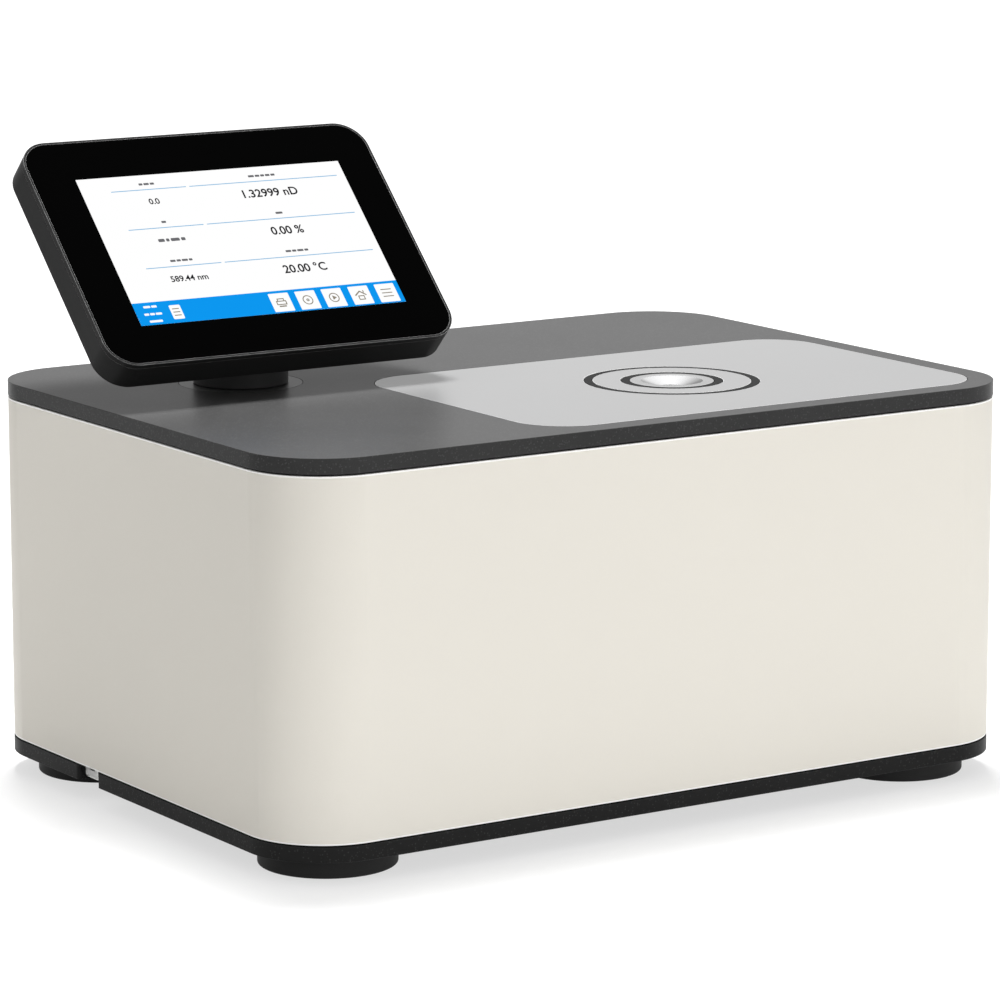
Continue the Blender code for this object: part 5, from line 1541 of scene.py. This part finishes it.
@dataclass
class DisplayHead:
    """The display's rear cover, frame, glass and hinge bracket, modelled flat and then tilted.

    Its own X and Y lie in the screen and its Z points out of it, from the tilt axis.
    """

    tilt: float = math.radians(44.7)
    width: float = 0.1990
    height: float = 0.1401
    shift: float = -0.0009
    rise: float = 0.0260
    corner_radius: float = 0.0160
    back: float = 0.0117
    front: float = 0.0294
    wall: float = 0.0024
    lip: float = 0.0030
    rim: float = 0.0014
    ledge: float = 0.0087
    skirt_inset: float = 0.0027
    skirt_depth: float = 0.0055
    glass_inset: float = 0.0017
    glass_thickness: float = 0.0011
    rear_edge: float = 0.0006
    seam: float = 0.00005
    small_edge: float = 0.0004
    glass_edge: float = 0.0002
    screw_inset: float = 0.0130
    screw_recess_radius: float = 0.0034
    screw_recess_depth: float = 0.0012
    screw_head_radius: float = 0.0028
    screw_cross_width: float = 0.0007
    screw_cross_reach: float = 0.00182
    screw_cross_share: float = 0.5
    vent_count: int = 12
    vent_width: float = 0.0020
    vent_height: float = 0.0120
    vent_pitch: float = 0.0050
    vent_depth: float = 0.0010
    vent_rise: float = 0.0780
    barrel_radius: float = 0.0080
    bracket_width: float = 0.0560
    bracket_low: float = -0.0120
    bracket_high: float = 0.0500
    bracket_thickness: float = 0.0022
    bracket_screw_inset: float = 0.0055
    bracket_screw_rise: float = 0.0045
    pin_radius: float = 0.0033

    def build(self) -> None:
        """Model the head's pieces."""
        self._rear_cover()
        self._frame()
        self._glass()
        self._bracket()
        self._cover_screws()

    def fit(self, piece: Piece, finish: Finish, *nodes: str) -> None:
        """Tilt a piece that was modelled flat into its place on the display, and hand it over."""
        place = Matrix.Translation(middle_of("tilt_pin")) @ Matrix.Rotation(self.tilt, 4, "X")
        hand_over(put(piece, place), finish, *nodes, body=Body.DISPLAY)

    def _block(self, name: str, inset: float, low: float, high: float) -> Piece:
        """A plate with the display's outline.

        Args:
            name: Name of the shape.
            inset: How far it is drawn in from the outline.
            low: Depth of its back.
            high: Depth of its front.

        Returns:
            The plate.
        """
        half_x, half_y = self.width / 2 - inset, self.height / 2 - inset
        return rounded_block(
            name, (self.shift - half_x, self.rise - half_y, low),
            (self.shift + half_x, self.rise + half_y, high),
            max(self.corner_radius - inset, self.small_edge),
        )

    def _screw_places(self) -> list[Pair]:
        """Where the rear cover's four screws are."""
        reach_x, reach_y = self.width / 2 - self.screw_inset, self.height / 2 - self.screw_inset
        return [(self.shift + x * reach_x, self.rise + y * reach_y) for x in SIDES for y in SIDES]

    def _rear_cover(self) -> None:
        """Shallow tub behind the screen, with sunk screws and a row of vent grooves in its back."""
        rear, outside = self.back, self.back - OVERRUN
        cover = self._block("display_back", 0.0, rear, self.front - self.lip - self.seam)
        round_edges(cover, lambda *ends: all(abs(end.z - rear) < TOUCH for end in ends), self.rear_edge)
        carve(cover, self._block("cavity_tool", self.wall, rear + self.wall, self.front))
        tools = [
            rod("recess_tool", self.screw_recess_radius, outside, rear + self.screw_recess_depth, place)
            for place in self._screw_places()
        ]
        half_x, half_y = self.vent_width / 2, self.vent_height / 2
        tools += row_of(
            "vent_tool", (self.shift - half_x, self.vent_rise - half_y, outside),
            (self.shift + half_x, self.vent_rise + half_y, rear + self.vent_depth),
            self.vent_count, self.vent_pitch, half_x - TOUCH,
        )
        carve(cover, join(tools, "cover_tools"))
        self.fit(ease(cover, self.seam / 2), DISPLAY_GREY, "display_rear_cover")

    def _frame(self) -> None:
        """Frame with a thin rim around the glass and a skirt that goes into the rear cover."""
        lip_back, before = self.front - self.lip, self.front + OVERRUN
        rim = self._block("display_rim", 0.0, lip_back, self.front)
        pick(rim, lambda centre, normal: normal.z < TOUCH - 1.0)
        bpy.ops.mesh.inset(thickness=self.skirt_inset)
        bpy.ops.mesh.extrude_region_move(TRANSFORM_OT_translate={"value": (0.0, 0.0, -self.skirt_depth)})
        close_edit()
        pocket_floor = self.front - self.glass_thickness - SEAT_GAP
        carve(rim, self._block("glass_tool", self.rim, pocket_floor, before))
        carve(rim, self._block("opening_tool", self.ledge, lip_back - self.skirt_depth - OVERRUN, before))
        self.fit(ease(rim, self.glass_edge), BEZEL_GREY, "display_frame")

    def _glass(self) -> None:
        """Black printed cover glass with eased edges."""
        glass = self._block("front_glass", self.glass_inset, self.front - self.glass_thickness, self.front)
        self.fit(ease(glass, self.glass_edge), BLACK_GLASS, "cover_glass")

    def _bracket(self) -> None:
        """Flat bracket screwed to the rear cover, with the barrel that turns on the pin."""
        high = self.back - SEAT_GAP
        low = high - self.bracket_thickness
        half, inset = self.bracket_width / 2, self.bracket_screw_inset
        start, end = (-half, self.bracket_low, low), (half, self.bracket_high, high)
        bracket = rounded_block("hinge_bracket", start, end, self.barrel_radius)
        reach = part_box("friction_washer_right")[0].x - middle_of("tilt_pin").x - SEAT_GAP
        barrel = rod("barrel", self.barrel_radius, -reach, reach)
        carve(bracket, put(barrel, LAID_ALONG_X), Cut.ADD)
        web_x, web_y = reach - self.small_edge, self.barrel_radius - self.small_edge
        web = rounded_block("web", (-web_x, -web_y, 0.0), (web_x, web_y, low + self.small_edge))
        carve(bracket, web, Cut.ADD)
        drill = rod("bore_tool", self.pin_radius, -reach - OVERRUN, reach + OVERRUN)
        carve(bracket, put(drill, LAID_ALONG_X))
        self.fit(ease(bracket, self.small_edge), MOULDED_BLACK, "hinge_knuckle")
        heads = [
            self._screw_head((x, y), low - self.screw_recess_depth, low)
            for x in (inset - half, half - inset)
            for y in (self.bracket_low + self.bracket_screw_rise, self.bracket_high - inset)
        ]
        self.fit(join(heads, "bracket_screws"), ZINC_STEEL)

    def _screw_head(self, place: Pair, outer: float, seat: float) -> Piece:
        """A small domed screw head with a cross slot.

        Args:
            place: Where it is.
            outer: Depth of its outer face.
            seat: Depth of the face that it sits on.

        Returns:
            The head.
        """
        rise, (x, y) = seat - outer, place
        turns = [math.pi / 2 * share for share in shares(FEW_STEPS)[:-1]]
        dome = [(self.screw_head_radius * math.cos(turn), seat - rise * math.sin(turn)) for turn in turns]
        head = turned("screw_head", dome, place)
        arm, half = self.screw_cross_reach, self.screw_cross_width / 2
        floor = outer + rise * self.screw_cross_share
        for half_x, half_y in ((arm, half), (half, arm)):
            start, end = (x - half_x, y - half_y, outer - OVERRUN), (x + half_x, y + half_y, floor)
            carve(head, rounded_block("cross_tool", start, end))
        return ease(head, 0.0)

    def _cover_screws(self) -> None:
        """The four screws sunk in the rear cover."""
        outer, seat = self.back + self.small_edge / 2, self.back + self.screw_recess_depth
        heads = [self._screw_head(place, outer, seat) for place in self._screw_places()]
        self.fit(join(heads, "cover_screws"), ZINC_STEEL)


class Layer(Enum):
    """Layers of what the screen shows, each as high as this many sheets."""

    PAGE = 1
    PRINT = 2
    TILE = 3
    SIGN = 4


@dataclass
class ScreenPage:
    """What the lit screen shows: readings, thin rules and a bar of buttons, as thin layers on the glass.

    Places on the page are shares of its width from the left and of its height from the top. Signs on the
    buttons are drawn in shares of their reach.
    """

    head: DisplayHead
    width: float = 0.1519
    height: float = 0.0921
    centre_rise: float = 0.02525
    sheet: float = 0.00004
    row_count: int = 3
    row_pitch_share: float = 0.2650
    label_share: float = 0.0620
    rule_share: float = 0.1000
    value_share: float = 0.1850
    left_column: Pair = (0.1080, 0.3880)
    right_column: Pair = (0.4010, 0.9700)
    left_words: tuple[Place, ...] = ((0.0022, 0.0030, 0.0024), (0.0026,), (0.0030, 0.0024, 0.0034, 0.0020))
    right_words: tuple[Place, ...] = (
        (0.0034, 0.0026, 0.0022, 0.0026, 0.0024), (0.0040,), (0.0032, 0.0024, 0.0036, 0.0022),
    )
    middle_words: Place = (0.0036, 0.0018, 0.0050, 0.0024)
    label_height: float = 0.0013
    middle_height: float = 0.0019
    mark_space: float = 0.45
    mark_radius: float = 0.3
    rule_thickness: float = 0.00045
    bar_top_share: float = 0.8510
    bar_words_share: float = 0.0600
    bar_words: tuple[tuple[float, Place], ...] = (
        (0.881, (0.0038, 0.0030)), (0.930, (0.0026, 0.0026, 0.0034)), (0.978, (0.0072,)),
    )
    tile_shares: tuple[float, ...] = (0.5387, 0.6393, 0.7401, 0.8430, 0.9452)
    tile_rise_share: float = 0.9300
    tile_side: float = 0.0114
    tile_radius: float = 0.0005
    note_share: float = 0.1468
    note_size: Pair = (0.0062, 0.0086)
    note_radius: float = 0.0007
    note_line: float = 0.0038
    note_pitch: float = 0.0020
    icon_reach: float = 0.0029
    stroke: float = 0.00055
    roof_angle: float = math.radians(38)
    large_text: float = 0.0070
    small_text: float = 0.0050
    text_weight: float = 0.019

    def build(self) -> None:
        """Model the page, layer by layer."""
        centre = self._point(0.5, 0.5)
        self._show([self._tab(centre, self.width, self.height, Layer.PAGE)], "screen_page", LIT_WHITE)
        self._rules()
        self._words()
        self._readings()
        self._button_bar()
        self._icons()

    def _point(self, across: float, down: float) -> Vector:
        """Place on the glass of a point given in shares of the page."""
        rise = self.centre_rise + self.height * (0.5 - down)
        return Vector((self.width * (across - 0.5), rise, self.head.front))

    def _tab(
        self, centre: Vector, width: float, height: float, layer: Layer, radius: float = 0.0
    ) -> Piece:
        """A thin plate on the glass.

        Args:
            centre: Its centre on the glass.
            width: Its width.
            height: Its height.
            layer: The layer that it belongs to.
            radius: Radius of its corners.

        Returns:
            The plate.
        """
        half = Vector((width / 2, height / 2, 0.0))
        floor, top = centre - half - UP * self.sheet / 2, centre + half + UP * self.sheet * layer.value
        return rounded_block("tab", floor, top, radius, steps=FEW_STEPS)

    def _show(self, shapes: Iterable[Piece], name: str, finish: Finish) -> None:
        """Join shapes into one piece of the page and put it on the display."""
        self.head.fit(join(shapes, name), finish)

    def _rules(self) -> None:
        """A thin rule under each heading."""
        rules = []
        for row in range(self.row_count):
            down = self.rule_share + row * self.row_pitch_share
            for start, end in (self.left_column, self.right_column):
                centre, length = self._point((start + end) / 2, down), self.width * (end - start)
                rules.append(self._tab(centre, length, self.rule_thickness, Layer.PRINT))
        self._show(rules, "screen_rules", LIT_RULE)

    def _marks(self, centre: Vector, lengths: Place, height: float, layer: Layer) -> list[Piece]:
        """A row of short marks that stands for a line of words.

        Args:
            centre: Middle of the row.
            lengths: Length of each mark.
            height: Height of the marks.
            layer: The layer that they belong to.

        Returns:
            The marks.
        """
        space = height * self.mark_space
        total = sum(lengths) + space * (len(lengths) - 1)
        marks, x = [], centre.x - total / 2
        for length in lengths:
            middle = Vector((x + length / 2, centre.y, centre.z))
            marks.append(self._tab(middle, length, height, layer, height * self.mark_radius))
            x += length + space
        return marks

    def _words(self) -> None:
        """Neutral marks where the headings are."""
        marks = []
        left, right = sum(self.left_column) / 2, sum(self.right_column) / 2
        for row in range(self.row_count):
            down = self.label_share + row * self.row_pitch_share
            for across, words in ((left, self.left_words), (right, self.right_words)):
                marks += self._marks(self._point(across, down), words[row], self.label_height, Layer.PRINT)
        middle = self._point(left, self.value_share + self.row_pitch_share)
        marks += self._marks(middle, self.middle_words, self.middle_height, Layer.PRINT)
        self._show(marks, "screen_headings", LIT_SOFT_INK)

    def _text(self, words: str, centre: Vector, size: float) -> Piece:
        """Figures on the glass, as a thin closed mesh.

        Args:
            words: The figures.
            centre: Their middle.
            size: Size of the letters.

        Returns:
            The mesh.
        """
        clear_selection()
        bpy.ops.object.text_add()
        text = bpy.context.active_object
        text.data.body = words
        text.data.size = size
        text.data.align_x = "CENTER"
        text.data.align_y = "CENTER"
        text.data.resolution_u = 4
        text.data.offset = self.text_weight * size
        half = self.sheet * (Layer.PRINT.value + 0.5) / 2
        text.data.extrude = half
        hold(text)
        bpy.ops.object.convert(target="MESH")
        figures = bpy.context.active_object
        figures.location = centre + UP * (half - self.sheet / 2)
        settle(figures)
        bpy.ops.object.mode_set(mode="EDIT")
        clean_mesh(TOUCH / 2)
        return figures

    def _readings(self) -> None:
        """The measured values, in plain figures."""
        left, right = sum(self.left_column) / 2, sum(self.right_column) / 2
        values = (
            ("1.32999 nD", right, 0, self.large_text),
            ("0.00 %", right, 1, self.large_text),
            ("20.00 °C", right, 2, self.large_text),
            ("0.0", left, 0, self.small_text),
            ("589.44 nm", left, 2, self.small_text),
        )
        figures = [
            self._text(words, self._point(across, self.value_share + row * self.row_pitch_share), size)
            for words, across, row, size in values
        ]
        self._show(figures, "screen_readings", LIT_INK)

    def _button_bar(self) -> None:
        """Blue bar at the foot of the page, with its tiles, its note and small marks."""
        centre = self._point(0.5, (1.0 + self.bar_top_share) / 2)
        height = self.height * (1.0 - self.bar_top_share)
        self._show([self._tab(centre, self.width, height, Layer.PRINT)], "button_bar", LIT_BLUE)
        side, tiles = self.tile_side, []
        for across in self.tile_shares:
            centre = self._point(across, self.tile_rise_share)
            tiles.append(self._tab(centre, side, side, Layer.TILE, self.tile_radius))
        note = self._point(self.note_share, self.tile_rise_share)
        tiles.append(self._tab(note, *self.note_size, Layer.TILE, self.note_radius))
        for down, lengths in self.bar_words:
            centre = self._point(self.bar_words_share, down)
            tiles += self._marks(centre, lengths, self.label_height, Layer.TILE)
        self._show(tiles, "button_tiles", LIT_WHITE)

    def _sign(self, spot: Vector, across: float, up: float, width: float, height: float) -> Piece:
        """One stroke of a sign, placed and sized in shares of the signs' reach."""
        across, up, width, height = (share * self.icon_reach for share in (across, up, width, height))
        return self._tab(spot + Vector((across, up, 0.0)), width, height, Layer.SIGN)

    def _sign_box(self, spot: Vector, up: float, width: float, height: float) -> list[Piece]:
        """A box drawn with the pen's width.

        Args:
            spot: Middle of the sign.
            up: How far above it the box's middle lies, in shares of the signs' reach.
            width: The box's width in such shares.
            height: Its height in such shares.

        Returns:
            The box's four strokes.
        """
        pen = self.stroke / self.icon_reach
        level = [self._sign(spot, 0.0, up + side * (height - pen) / 2, width, pen) for side in SIDES]
        return level + [self._sign(spot, side * (width - pen) / 2, up, pen, height) for side in SIDES]

    def _icons(self) -> None:
        """Plain signs on the tiles: printer, record, play, house and menu, and the note's lines."""
        reach, pen = self.icon_reach, self.stroke / self.icon_reach
        printer, record, play, house, menu = (
            self._point(across, self.tile_rise_share) for across in self.tile_shares
        )
        strokes = (
            (printer, 0.0, 0.75, 1.3, pen),
            (printer, -0.6, 0.55, pen, 0.6),
            (printer, 0.6, 0.55, pen, 0.6),
            (printer, 0.0, -0.85, 1.4, 1.4 * pen),
            (house, 0.75, 0.75, pen, 0.5),
            (menu, 0.0, -0.75, 2.1, pen),
            (menu, 0.0, 0.0, 2.1, pen),
            (menu, 0.0, 0.75, 2.1, pen),
        )
        shapes = [*self._sign_box(printer, -0.1, 2.0, 0.9), *self._sign_box(house, -0.55, 1.25, 0.95)]
        shapes += [self._sign(*stroke) for stroke in strokes]
        floor, top = self.head.front - self.sheet / 2, self.head.front + self.sheet * Layer.SIGN.value
        for spot, radius in ((record, reach), (record, reach * 0.3), (play, reach)):
            shapes.append(sleeve("sign_ring", (radius - self.stroke, radius), floor, top, spot))
        arrow = rod("play_arrow", reach * 0.55, self.head.front, top, sides=3)
        turn = Matrix.Rotation(-math.pi / 2, 4, "Z")
        shapes.append(put(arrow, Matrix.Translation((play.x, play.y, 0.0)) @ turn))
        for side in SIDES:
            slope = self._sign(Vector((0.0, 0.0, self.head.front)), 0.0, 0.0, 1.5, 1.3 * pen)
            turn = Matrix.Rotation(-side * self.roof_angle, 4, "Z")
            shift = Vector((house.x + side * reach * 0.52, house.y + reach * 0.42, 0.0))
            shapes.append(put(slope, Matrix.Translation(shift) @ turn))
        note = self._point(self.note_share, self.tile_rise_share)
        for step in (-1, 0, 1):
            line = note + Vector((0.0, step * self.note_pitch, 0.0))
            shapes.append(self._tab(line, self.note_line, self.stroke, Layer.SIGN))
        self._show(shapes, "button_signs", LIT_ICON)


@dataclass
class UsbSocket:
    """A flat socket shell with its tongue and four contacts.

    It is modelled with its mouth at the origin, facing +Z.
    """

    width: float = 0.0131
    height: float = 0.0057
    length: float = 0.0140
    wall: float = 0.0005
    corner: float = 0.0007
    tongue_width: float = 0.0098
    tongue_thickness: float = 0.0017
    tongue_setback: float = 0.0012
    tongue_gap: float = 3 * SEAT_GAP
    contact_width: float = 0.0010
    contact_pitch: float = 0.0023
    contact_count: int = 4
    contact_lift: float = 0.0001
    contact_rear_share: float = 0.8
    contact_setback_share: float = 1.4
    edge: float = 0.00012

    def block(self, name: str, inset: float, low: float, high: float, radius: float = 0.0) -> Piece:
        """A block with the socket's outline.

        Args:
            name: Name of the shape.
            inset: How far it is drawn in from the outline.
            low: Height of its lower face.
            high: Height of its upper face.
            radius: Radius of its corners.

        Returns:
            The block.
        """
        half_x, half_y = self.width / 2 - inset, self.height / 2 - inset
        start, end = (-half_x, -half_y, low), (half_x, half_y, high)
        return rounded_block(name, start, end, radius, steps=FEW_STEPS)

    def build(self, name: str, place: Matrix, node: str) -> None:
        """Model one socket and put it in place.

        Args:
            name: Name of the shell's piece.
            place: Place of its mouth.
            node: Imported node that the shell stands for.
        """
        floor = self.wall - self.length
        shell = self.block(name, 0.0, -self.length, 0.0, self.corner)
        carve(shell, self.block("cavity_tool", self.wall, floor, OVERRUN, self.corner / 2))
        ease(shell, self.edge, 2)
        hand_over(put(shell, place), SOCKET_STEEL, node)
        tongue_top = self.height / 2 - self.wall - self.tongue_gap
        under, half = tongue_top - self.tongue_thickness, self.tongue_width / 2
        tongue = rounded_block(
            f"{name}_tongue", (-half, under, floor), (half, tongue_top, -self.tongue_setback)
        )
        ease(tongue, self.edge * 2, 2)
        hand_over(put(tongue, place), MOULDED_BLACK)
        half = self.contact_width / 2
        contacts = row_of(
            "contact", (-half, under - self.contact_lift, -self.length * self.contact_rear_share),
            (half, under + self.contact_lift, -self.tongue_setback * self.contact_setback_share),
            self.contact_count, self.contact_pitch,
        )
        strip = ease(join(contacts, f"{name}_contacts"), 0.0)
        hand_over(put(strip, place), GOLD_CONTACT)


@dataclass
class CableNotch:
    """Socket in the notch of the bottom plate's left edge, with the pale insert in its mouth."""

    insert_gap: float = 0.00005
    insert_depth: float = 0.0010
    slot_width: float = 0.0055
    slot_height: float = 0.0009
    slot_drop: float = 0.0005

    def build(self) -> None:
        """Model the socket that faces left."""
        low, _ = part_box("side_usb_socket")
        _, middle_y, middle_z = middle_of("side_usb_socket")
        turn = Matrix.Rotation(-math.pi / 2, 4, "Z") @ Matrix.Rotation(math.pi / 2, 4, "X")
        socket, place = UsbSocket(), Matrix.Translation((low.x, middle_y, middle_z)) @ turn
        socket.build("side_socket", place, "side_usb_socket")
        inset = socket.wall + self.insert_gap
        insert = socket.block("side_insert", inset, -self.insert_depth, -SEAT_GAP / 2)
        half, slot_top = self.slot_width / 2, socket.height / 2 - inset - self.slot_drop
        slot = rounded_block(
            "slot_tool", (-half, slot_top - self.slot_height, -OVERRUN * 2), (half, slot_top, OVERRUN)
        )
        carve(insert, slot)
        ease(insert, socket.edge, 2)
        hand_over(put(insert, place), INSERT_GREY)


@dataclass
class RearConnectors:
    """Connector panel behind the window in the wrap, with its inlet, switch, sockets and vents.

    Pieces are modelled upright with their front facing +Y.
    """

    panel_radius: float = 0.0110
    flange: float = 0.0018
    inlet_border: float = 0.0035
    inlet_wall: float = 0.0018
    inlet_radius: float = 0.0036
    inlet_chamfer: float = 0.0040
    blade_width: float = 0.0020
    blade_height: float = 0.0042
    blade_setback: float = 0.0035
    blade_spread: float = 0.0070
    blade_drop: float = 0.0020
    switch_border: float = 0.0020
    switch_wall: float = 0.0012
    network_wall: float = 0.0020
    latch_width: float = 0.0060
    latch_depth: float = 0.0014
    wire_count: int = 8
    wire_pitch: float = 0.00102
    wire_width: float = 0.00045
    wire_rear_share: float = 0.25
    wire_front_share: float = 0.12
    rocker_tilt: float = math.radians(9)
    rocker_thickness: float = 0.0040
    rocker_crown: float = 0.0014
    rocker_gap: float = 4 * SEAT_GAP
    sign_low: float = -0.00005
    sign_high: float = 0.00004
    on_sign_width: float = 0.0008
    on_sign_length: float = 0.0028
    off_sign_radii: Pair = (0.0009, 0.0015)
    vent_count: int = 8
    vent_width: float = 0.0030
    vent_pitch: float = 0.0060
    vent_height: float = 0.0340
    vent_share: float = -0.365
    panel_width: float = 0.2160
    edge: float = 0.0003

    def build(self) -> None:
        """Model the panel and all that sits in it."""
        self._panel()
        self._inlet()
        self._switch()
        self._rocker()
        self._network()
        turn = Matrix.Rotation(math.pi, 4, "Z") @ Matrix.Rotation(math.pi / 2, 4, "X")
        for side in ("inner", "outer"):
            node = f"rear_usb_socket_{side}"
            middle = middle_of(node)
            mouth = Matrix.Translation((middle.x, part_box(node)[1].y, middle.z))
            UsbSocket().build(f"rear_socket_{side}", mouth @ turn, node)

    def _panel(self) -> None:
        """Charcoal panel with a window for each connector and a row of vents."""
        low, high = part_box("rear_panel")
        front, back = low.y - OVERRUN, high.y + OVERRUN
        panel = rounded_block("connector_panel", low, high, self.panel_radius, Axis.Y)
        borders = {
            "power_inlet": self.inlet_border, "switch_frame": self.switch_border, "network_socket": 0.0,
            "rear_usb_socket_inner": 0.0, "rear_usb_socket_outer": 0.0,
        }
        tools = [
            inset_block(f"{node}_tool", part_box(node), border - SEAT_GAP, front, back)
            for node, border in borders.items()
        ]
        middle, half_x, half_z = middle_of("rear_panel"), self.vent_width / 2, self.vent_height / 2
        x = middle.x + self.vent_share * self.panel_width
        tools += row_of(
            "vent_tool", (x - half_x, front, middle.z - half_z), (x + half_x, back, middle.z + half_z),
            self.vent_count, self.vent_pitch, half_x - TOUCH, Axis.Y,
        )
        carve(panel, join(tools, "panel_tools"))
        hand_over(ease(panel, self.edge), PANEL_COAT, "rear_panel")

    def _socket_body(
        self, name: str, node: str, border: float, wall: float, radius: float, flange_radius: float = 0.0,
        chamfer: float = 0.0,
    ) -> Piece:
        """A socket body with its flange and open front.

        Args:
            name: Name of the piece.
            node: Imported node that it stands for.
            border: How far the flange stands out around the body, or zero for none.
            wall: Thickness of the body's wall.
            radius: Radius of the body's corners.
            flange_radius: Radius of the flange's corners.
            chamfer: Width of the slopes in the opening's two upper corners, or zero.

        Returns:
            The body.
        """
        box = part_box(node)
        low, high = box
        body = inset_block(name, box, border, low.y, high.y, radius)
        if border:
            flange = inset_block("flange", box, 0.0, high.y - self.flange, high.y, flange_radius)
            carve(body, flange, Cut.ADD)
        cavity = inset_block("cavity_tool", box, border + wall, low.y + wall, high.y + OVERRUN)
        if chamfer:
            along_y, middle = parallel(Axis.Y), middle_of(node)
            round_edges(cavity, lambda *ends: along_y(*ends) and ends[0].z > middle.z, chamfer, 1)
        return carve(body, cavity)

    def _inlet(self) -> None:
        """Mains inlet with three blades."""
        body = self._socket_body(
            "mains_inlet", "power_inlet", self.inlet_border, self.inlet_wall, self.inlet_radius,
            self.inlet_radius, self.inlet_chamfer,
        )
        hand_over(ease(body, self.edge), MOULDED_BLACK, "power_inlet")
        low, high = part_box("power_inlet")
        middle, blades = middle_of("power_inlet"), []
        half_x, half_z = self.blade_width / 2, self.blade_height / 2
        for step, rise in ((-1, -self.blade_drop), (0, self.blade_drop), (1, -self.blade_drop)):
            x, z = middle.x + step * self.blade_spread, middle.z + rise
            start = (x - half_x, low.y + self.inlet_wall, z - half_z)
            end = (x + half_x, high.y - self.blade_setback, z + half_z)
            blade = rounded_block("blade", start, end, self.blade_width / 3, Axis.Y, FEW_STEPS)
            blades.append(blade)
        hand_over(ease(join(blades, "inlet_blades"), self.edge), SOCKET_STEEL)

    def _switch(self) -> None:
        """Frame of the power switch."""
        wall = self.switch_wall
        body = self._socket_body(
            "switch_surround", "switch_frame", self.switch_border, wall, wall, wall + self.switch_border / 2
        )
        hand_over(ease(body, self.edge), MOULDED_BLACK, "switch_frame")

    def _rocker(self) -> None:
        """Rocker with a hollow crown, and its plain ON and OFF signs."""
        frame_low, frame_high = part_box("switch_frame")
        width = 2 * half_width("power_rocker")
        half = (frame_high.z - frame_low.z) / 2 - self.switch_border - self.switch_wall - self.rocker_gap
        top = self.rocker_thickness + self.rocker_crown
        rocker = rounded_block("switch_rocker", (-width / 2, -half, 0.0), (width / 2, half, top))
        slice_piece(rocker, (0.0, 0.0, 0.0), (0.0, 1.0, 0.0))
        pick(
            rocker,
            lambda *ends: all(abs(end.y) < TOUCH and end.z > top - TOUCH for end in ends),
            faces=False,
        )
        bpy.ops.transform.translate(value=(0.0, 0.0, -self.rocker_crown))
        close_edit()
        ease(rocker, self.edge)
        pivot = next(joint for joint in frame["joints"] if joint["name"] == "power_switch")["pos_m"]
        place = Matrix.Translation(pivot) @ Matrix.Rotation(self.rocker_tilt - math.pi / 2, 4, "X")
        hand_over(put(rocker, place), MOULDED_BLACK, "power_rocker", body=Body.SWITCH)
        slope = math.atan2(self.rocker_crown, half)
        lift = self.rocker_thickness + self.rocker_crown / 2
        half_x, half_y = self.on_sign_width / 2, self.on_sign_length / 2
        start, end = (-half_x, -half_y, self.sign_low), (half_x, half_y, self.sign_high)
        bar = rounded_block("switch_on_sign", start, end)
        ring = sleeve("switch_off_sign", self.off_sign_radii, self.sign_low, self.sign_high)
        for sign, side in ((bar, -1), (ring, 1)):
            local = Matrix.Translation((0.0, side * half / 2, lift)) @ Matrix.Rotation(side * slope, 4, "X")
            hand_over(put(ease(sign, 0.0), place @ local), MARK_WHITE, body=Body.SWITCH)

    def _network(self) -> None:
        """Network socket with a latch notch and eight contact wires."""
        low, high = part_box("network_socket")
        middle, wall = middle_of("network_socket"), self.network_wall
        body = self._socket_body("network_jack", "network_socket", 0.0, wall, self.edge * 2)
        floor, ceiling, half = low.z + wall, high.z - wall, self.latch_width / 2
        notch = rounded_block(
            "latch_tool", (middle.x - half, low.y + wall, floor - self.latch_depth),
            (middle.x + half, high.y + OVERRUN, floor + OVERRUN),
        )
        carve(body, notch)
        hand_over(ease(body, self.edge / 2), SOCKET_STEEL, "network_socket")
        margin = Vector((self.edge, self.edge, self.edge))
        start, end = low + margin, high - margin
        mark_faces(
            body, MOULDED_BLACK,
            lambda centre, normal: all(near < value < far for near, value, far in zip(start, centre, end)),
        )
        depth, half = high.y - low.y, self.wire_width / 2
        wires = row_of(
            "wire", (middle.x - half, low.y + depth * self.wire_rear_share, ceiling - self.wire_width * 2),
            (middle.x + half, high.y - depth * self.wire_front_share, ceiling - self.wire_width),
            self.wire_count, self.wire_pitch,
        )
        hand_over(ease(join(wires, "network_wires"), 0.0), GOLD_CONTACT)


class Internals:
    """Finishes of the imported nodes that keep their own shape, all of them inside the casing."""

    def build(self) -> None:
        """Dress each node."""
        finishes: dict[Finish, tuple[str, ...]] = {
            MACHINED_ALUMINIUM: (
                *(f"corner_post_{corner}" for corner in CORNERS), "prism_holder", "heat_sink",
                "optical_bench", "objective_mount",
            ),
            WHITE_CERAMIC: ("peltier_module", "line_sensor"),
            MOULDED_BLACK: ("fan_frame", "fan_rotor", "led_module"),
            CLEAR_GLASS: ("condenser_lens", "objective_lens"),
            AMBER_GLASS: ("interference_filter",),
            SILVERED_GLASS: ("folding_mirror",),
            GREEN_BOARD: ("main_board", "sensor_board", "display_board"),
            SUPPLY_SHEET: ("power_supply",),
            TURNED_BRONZE: ("swivel_bush",),
            ZINC_STEEL: ("swivel_retainer",),
            PANEL_TRAY: ("lcd_panel",),
        }
        for finish, nodes in finishes.items():
            for node in nodes:
                finish.dress_node(node)
                LOG.info("%s: packed node in %s", node, finish.name)


def main() -> None:
    """Build the studio and every sub-assembly in order."""
    logging.basicConfig(level=logging.INFO, format="%(message)s")
    Studio().build()
    Casing().build()
    Feet().build()
    CableNotch().build()
    Stage().build()
    Swivel().build()
    head = DisplayHead()
    head.build()
    ScreenPage(head).build()
    RearConnectors().build()
    Internals().build()
    bpy.context.view_layer.update()


if __name__ == "__main__":
    main()
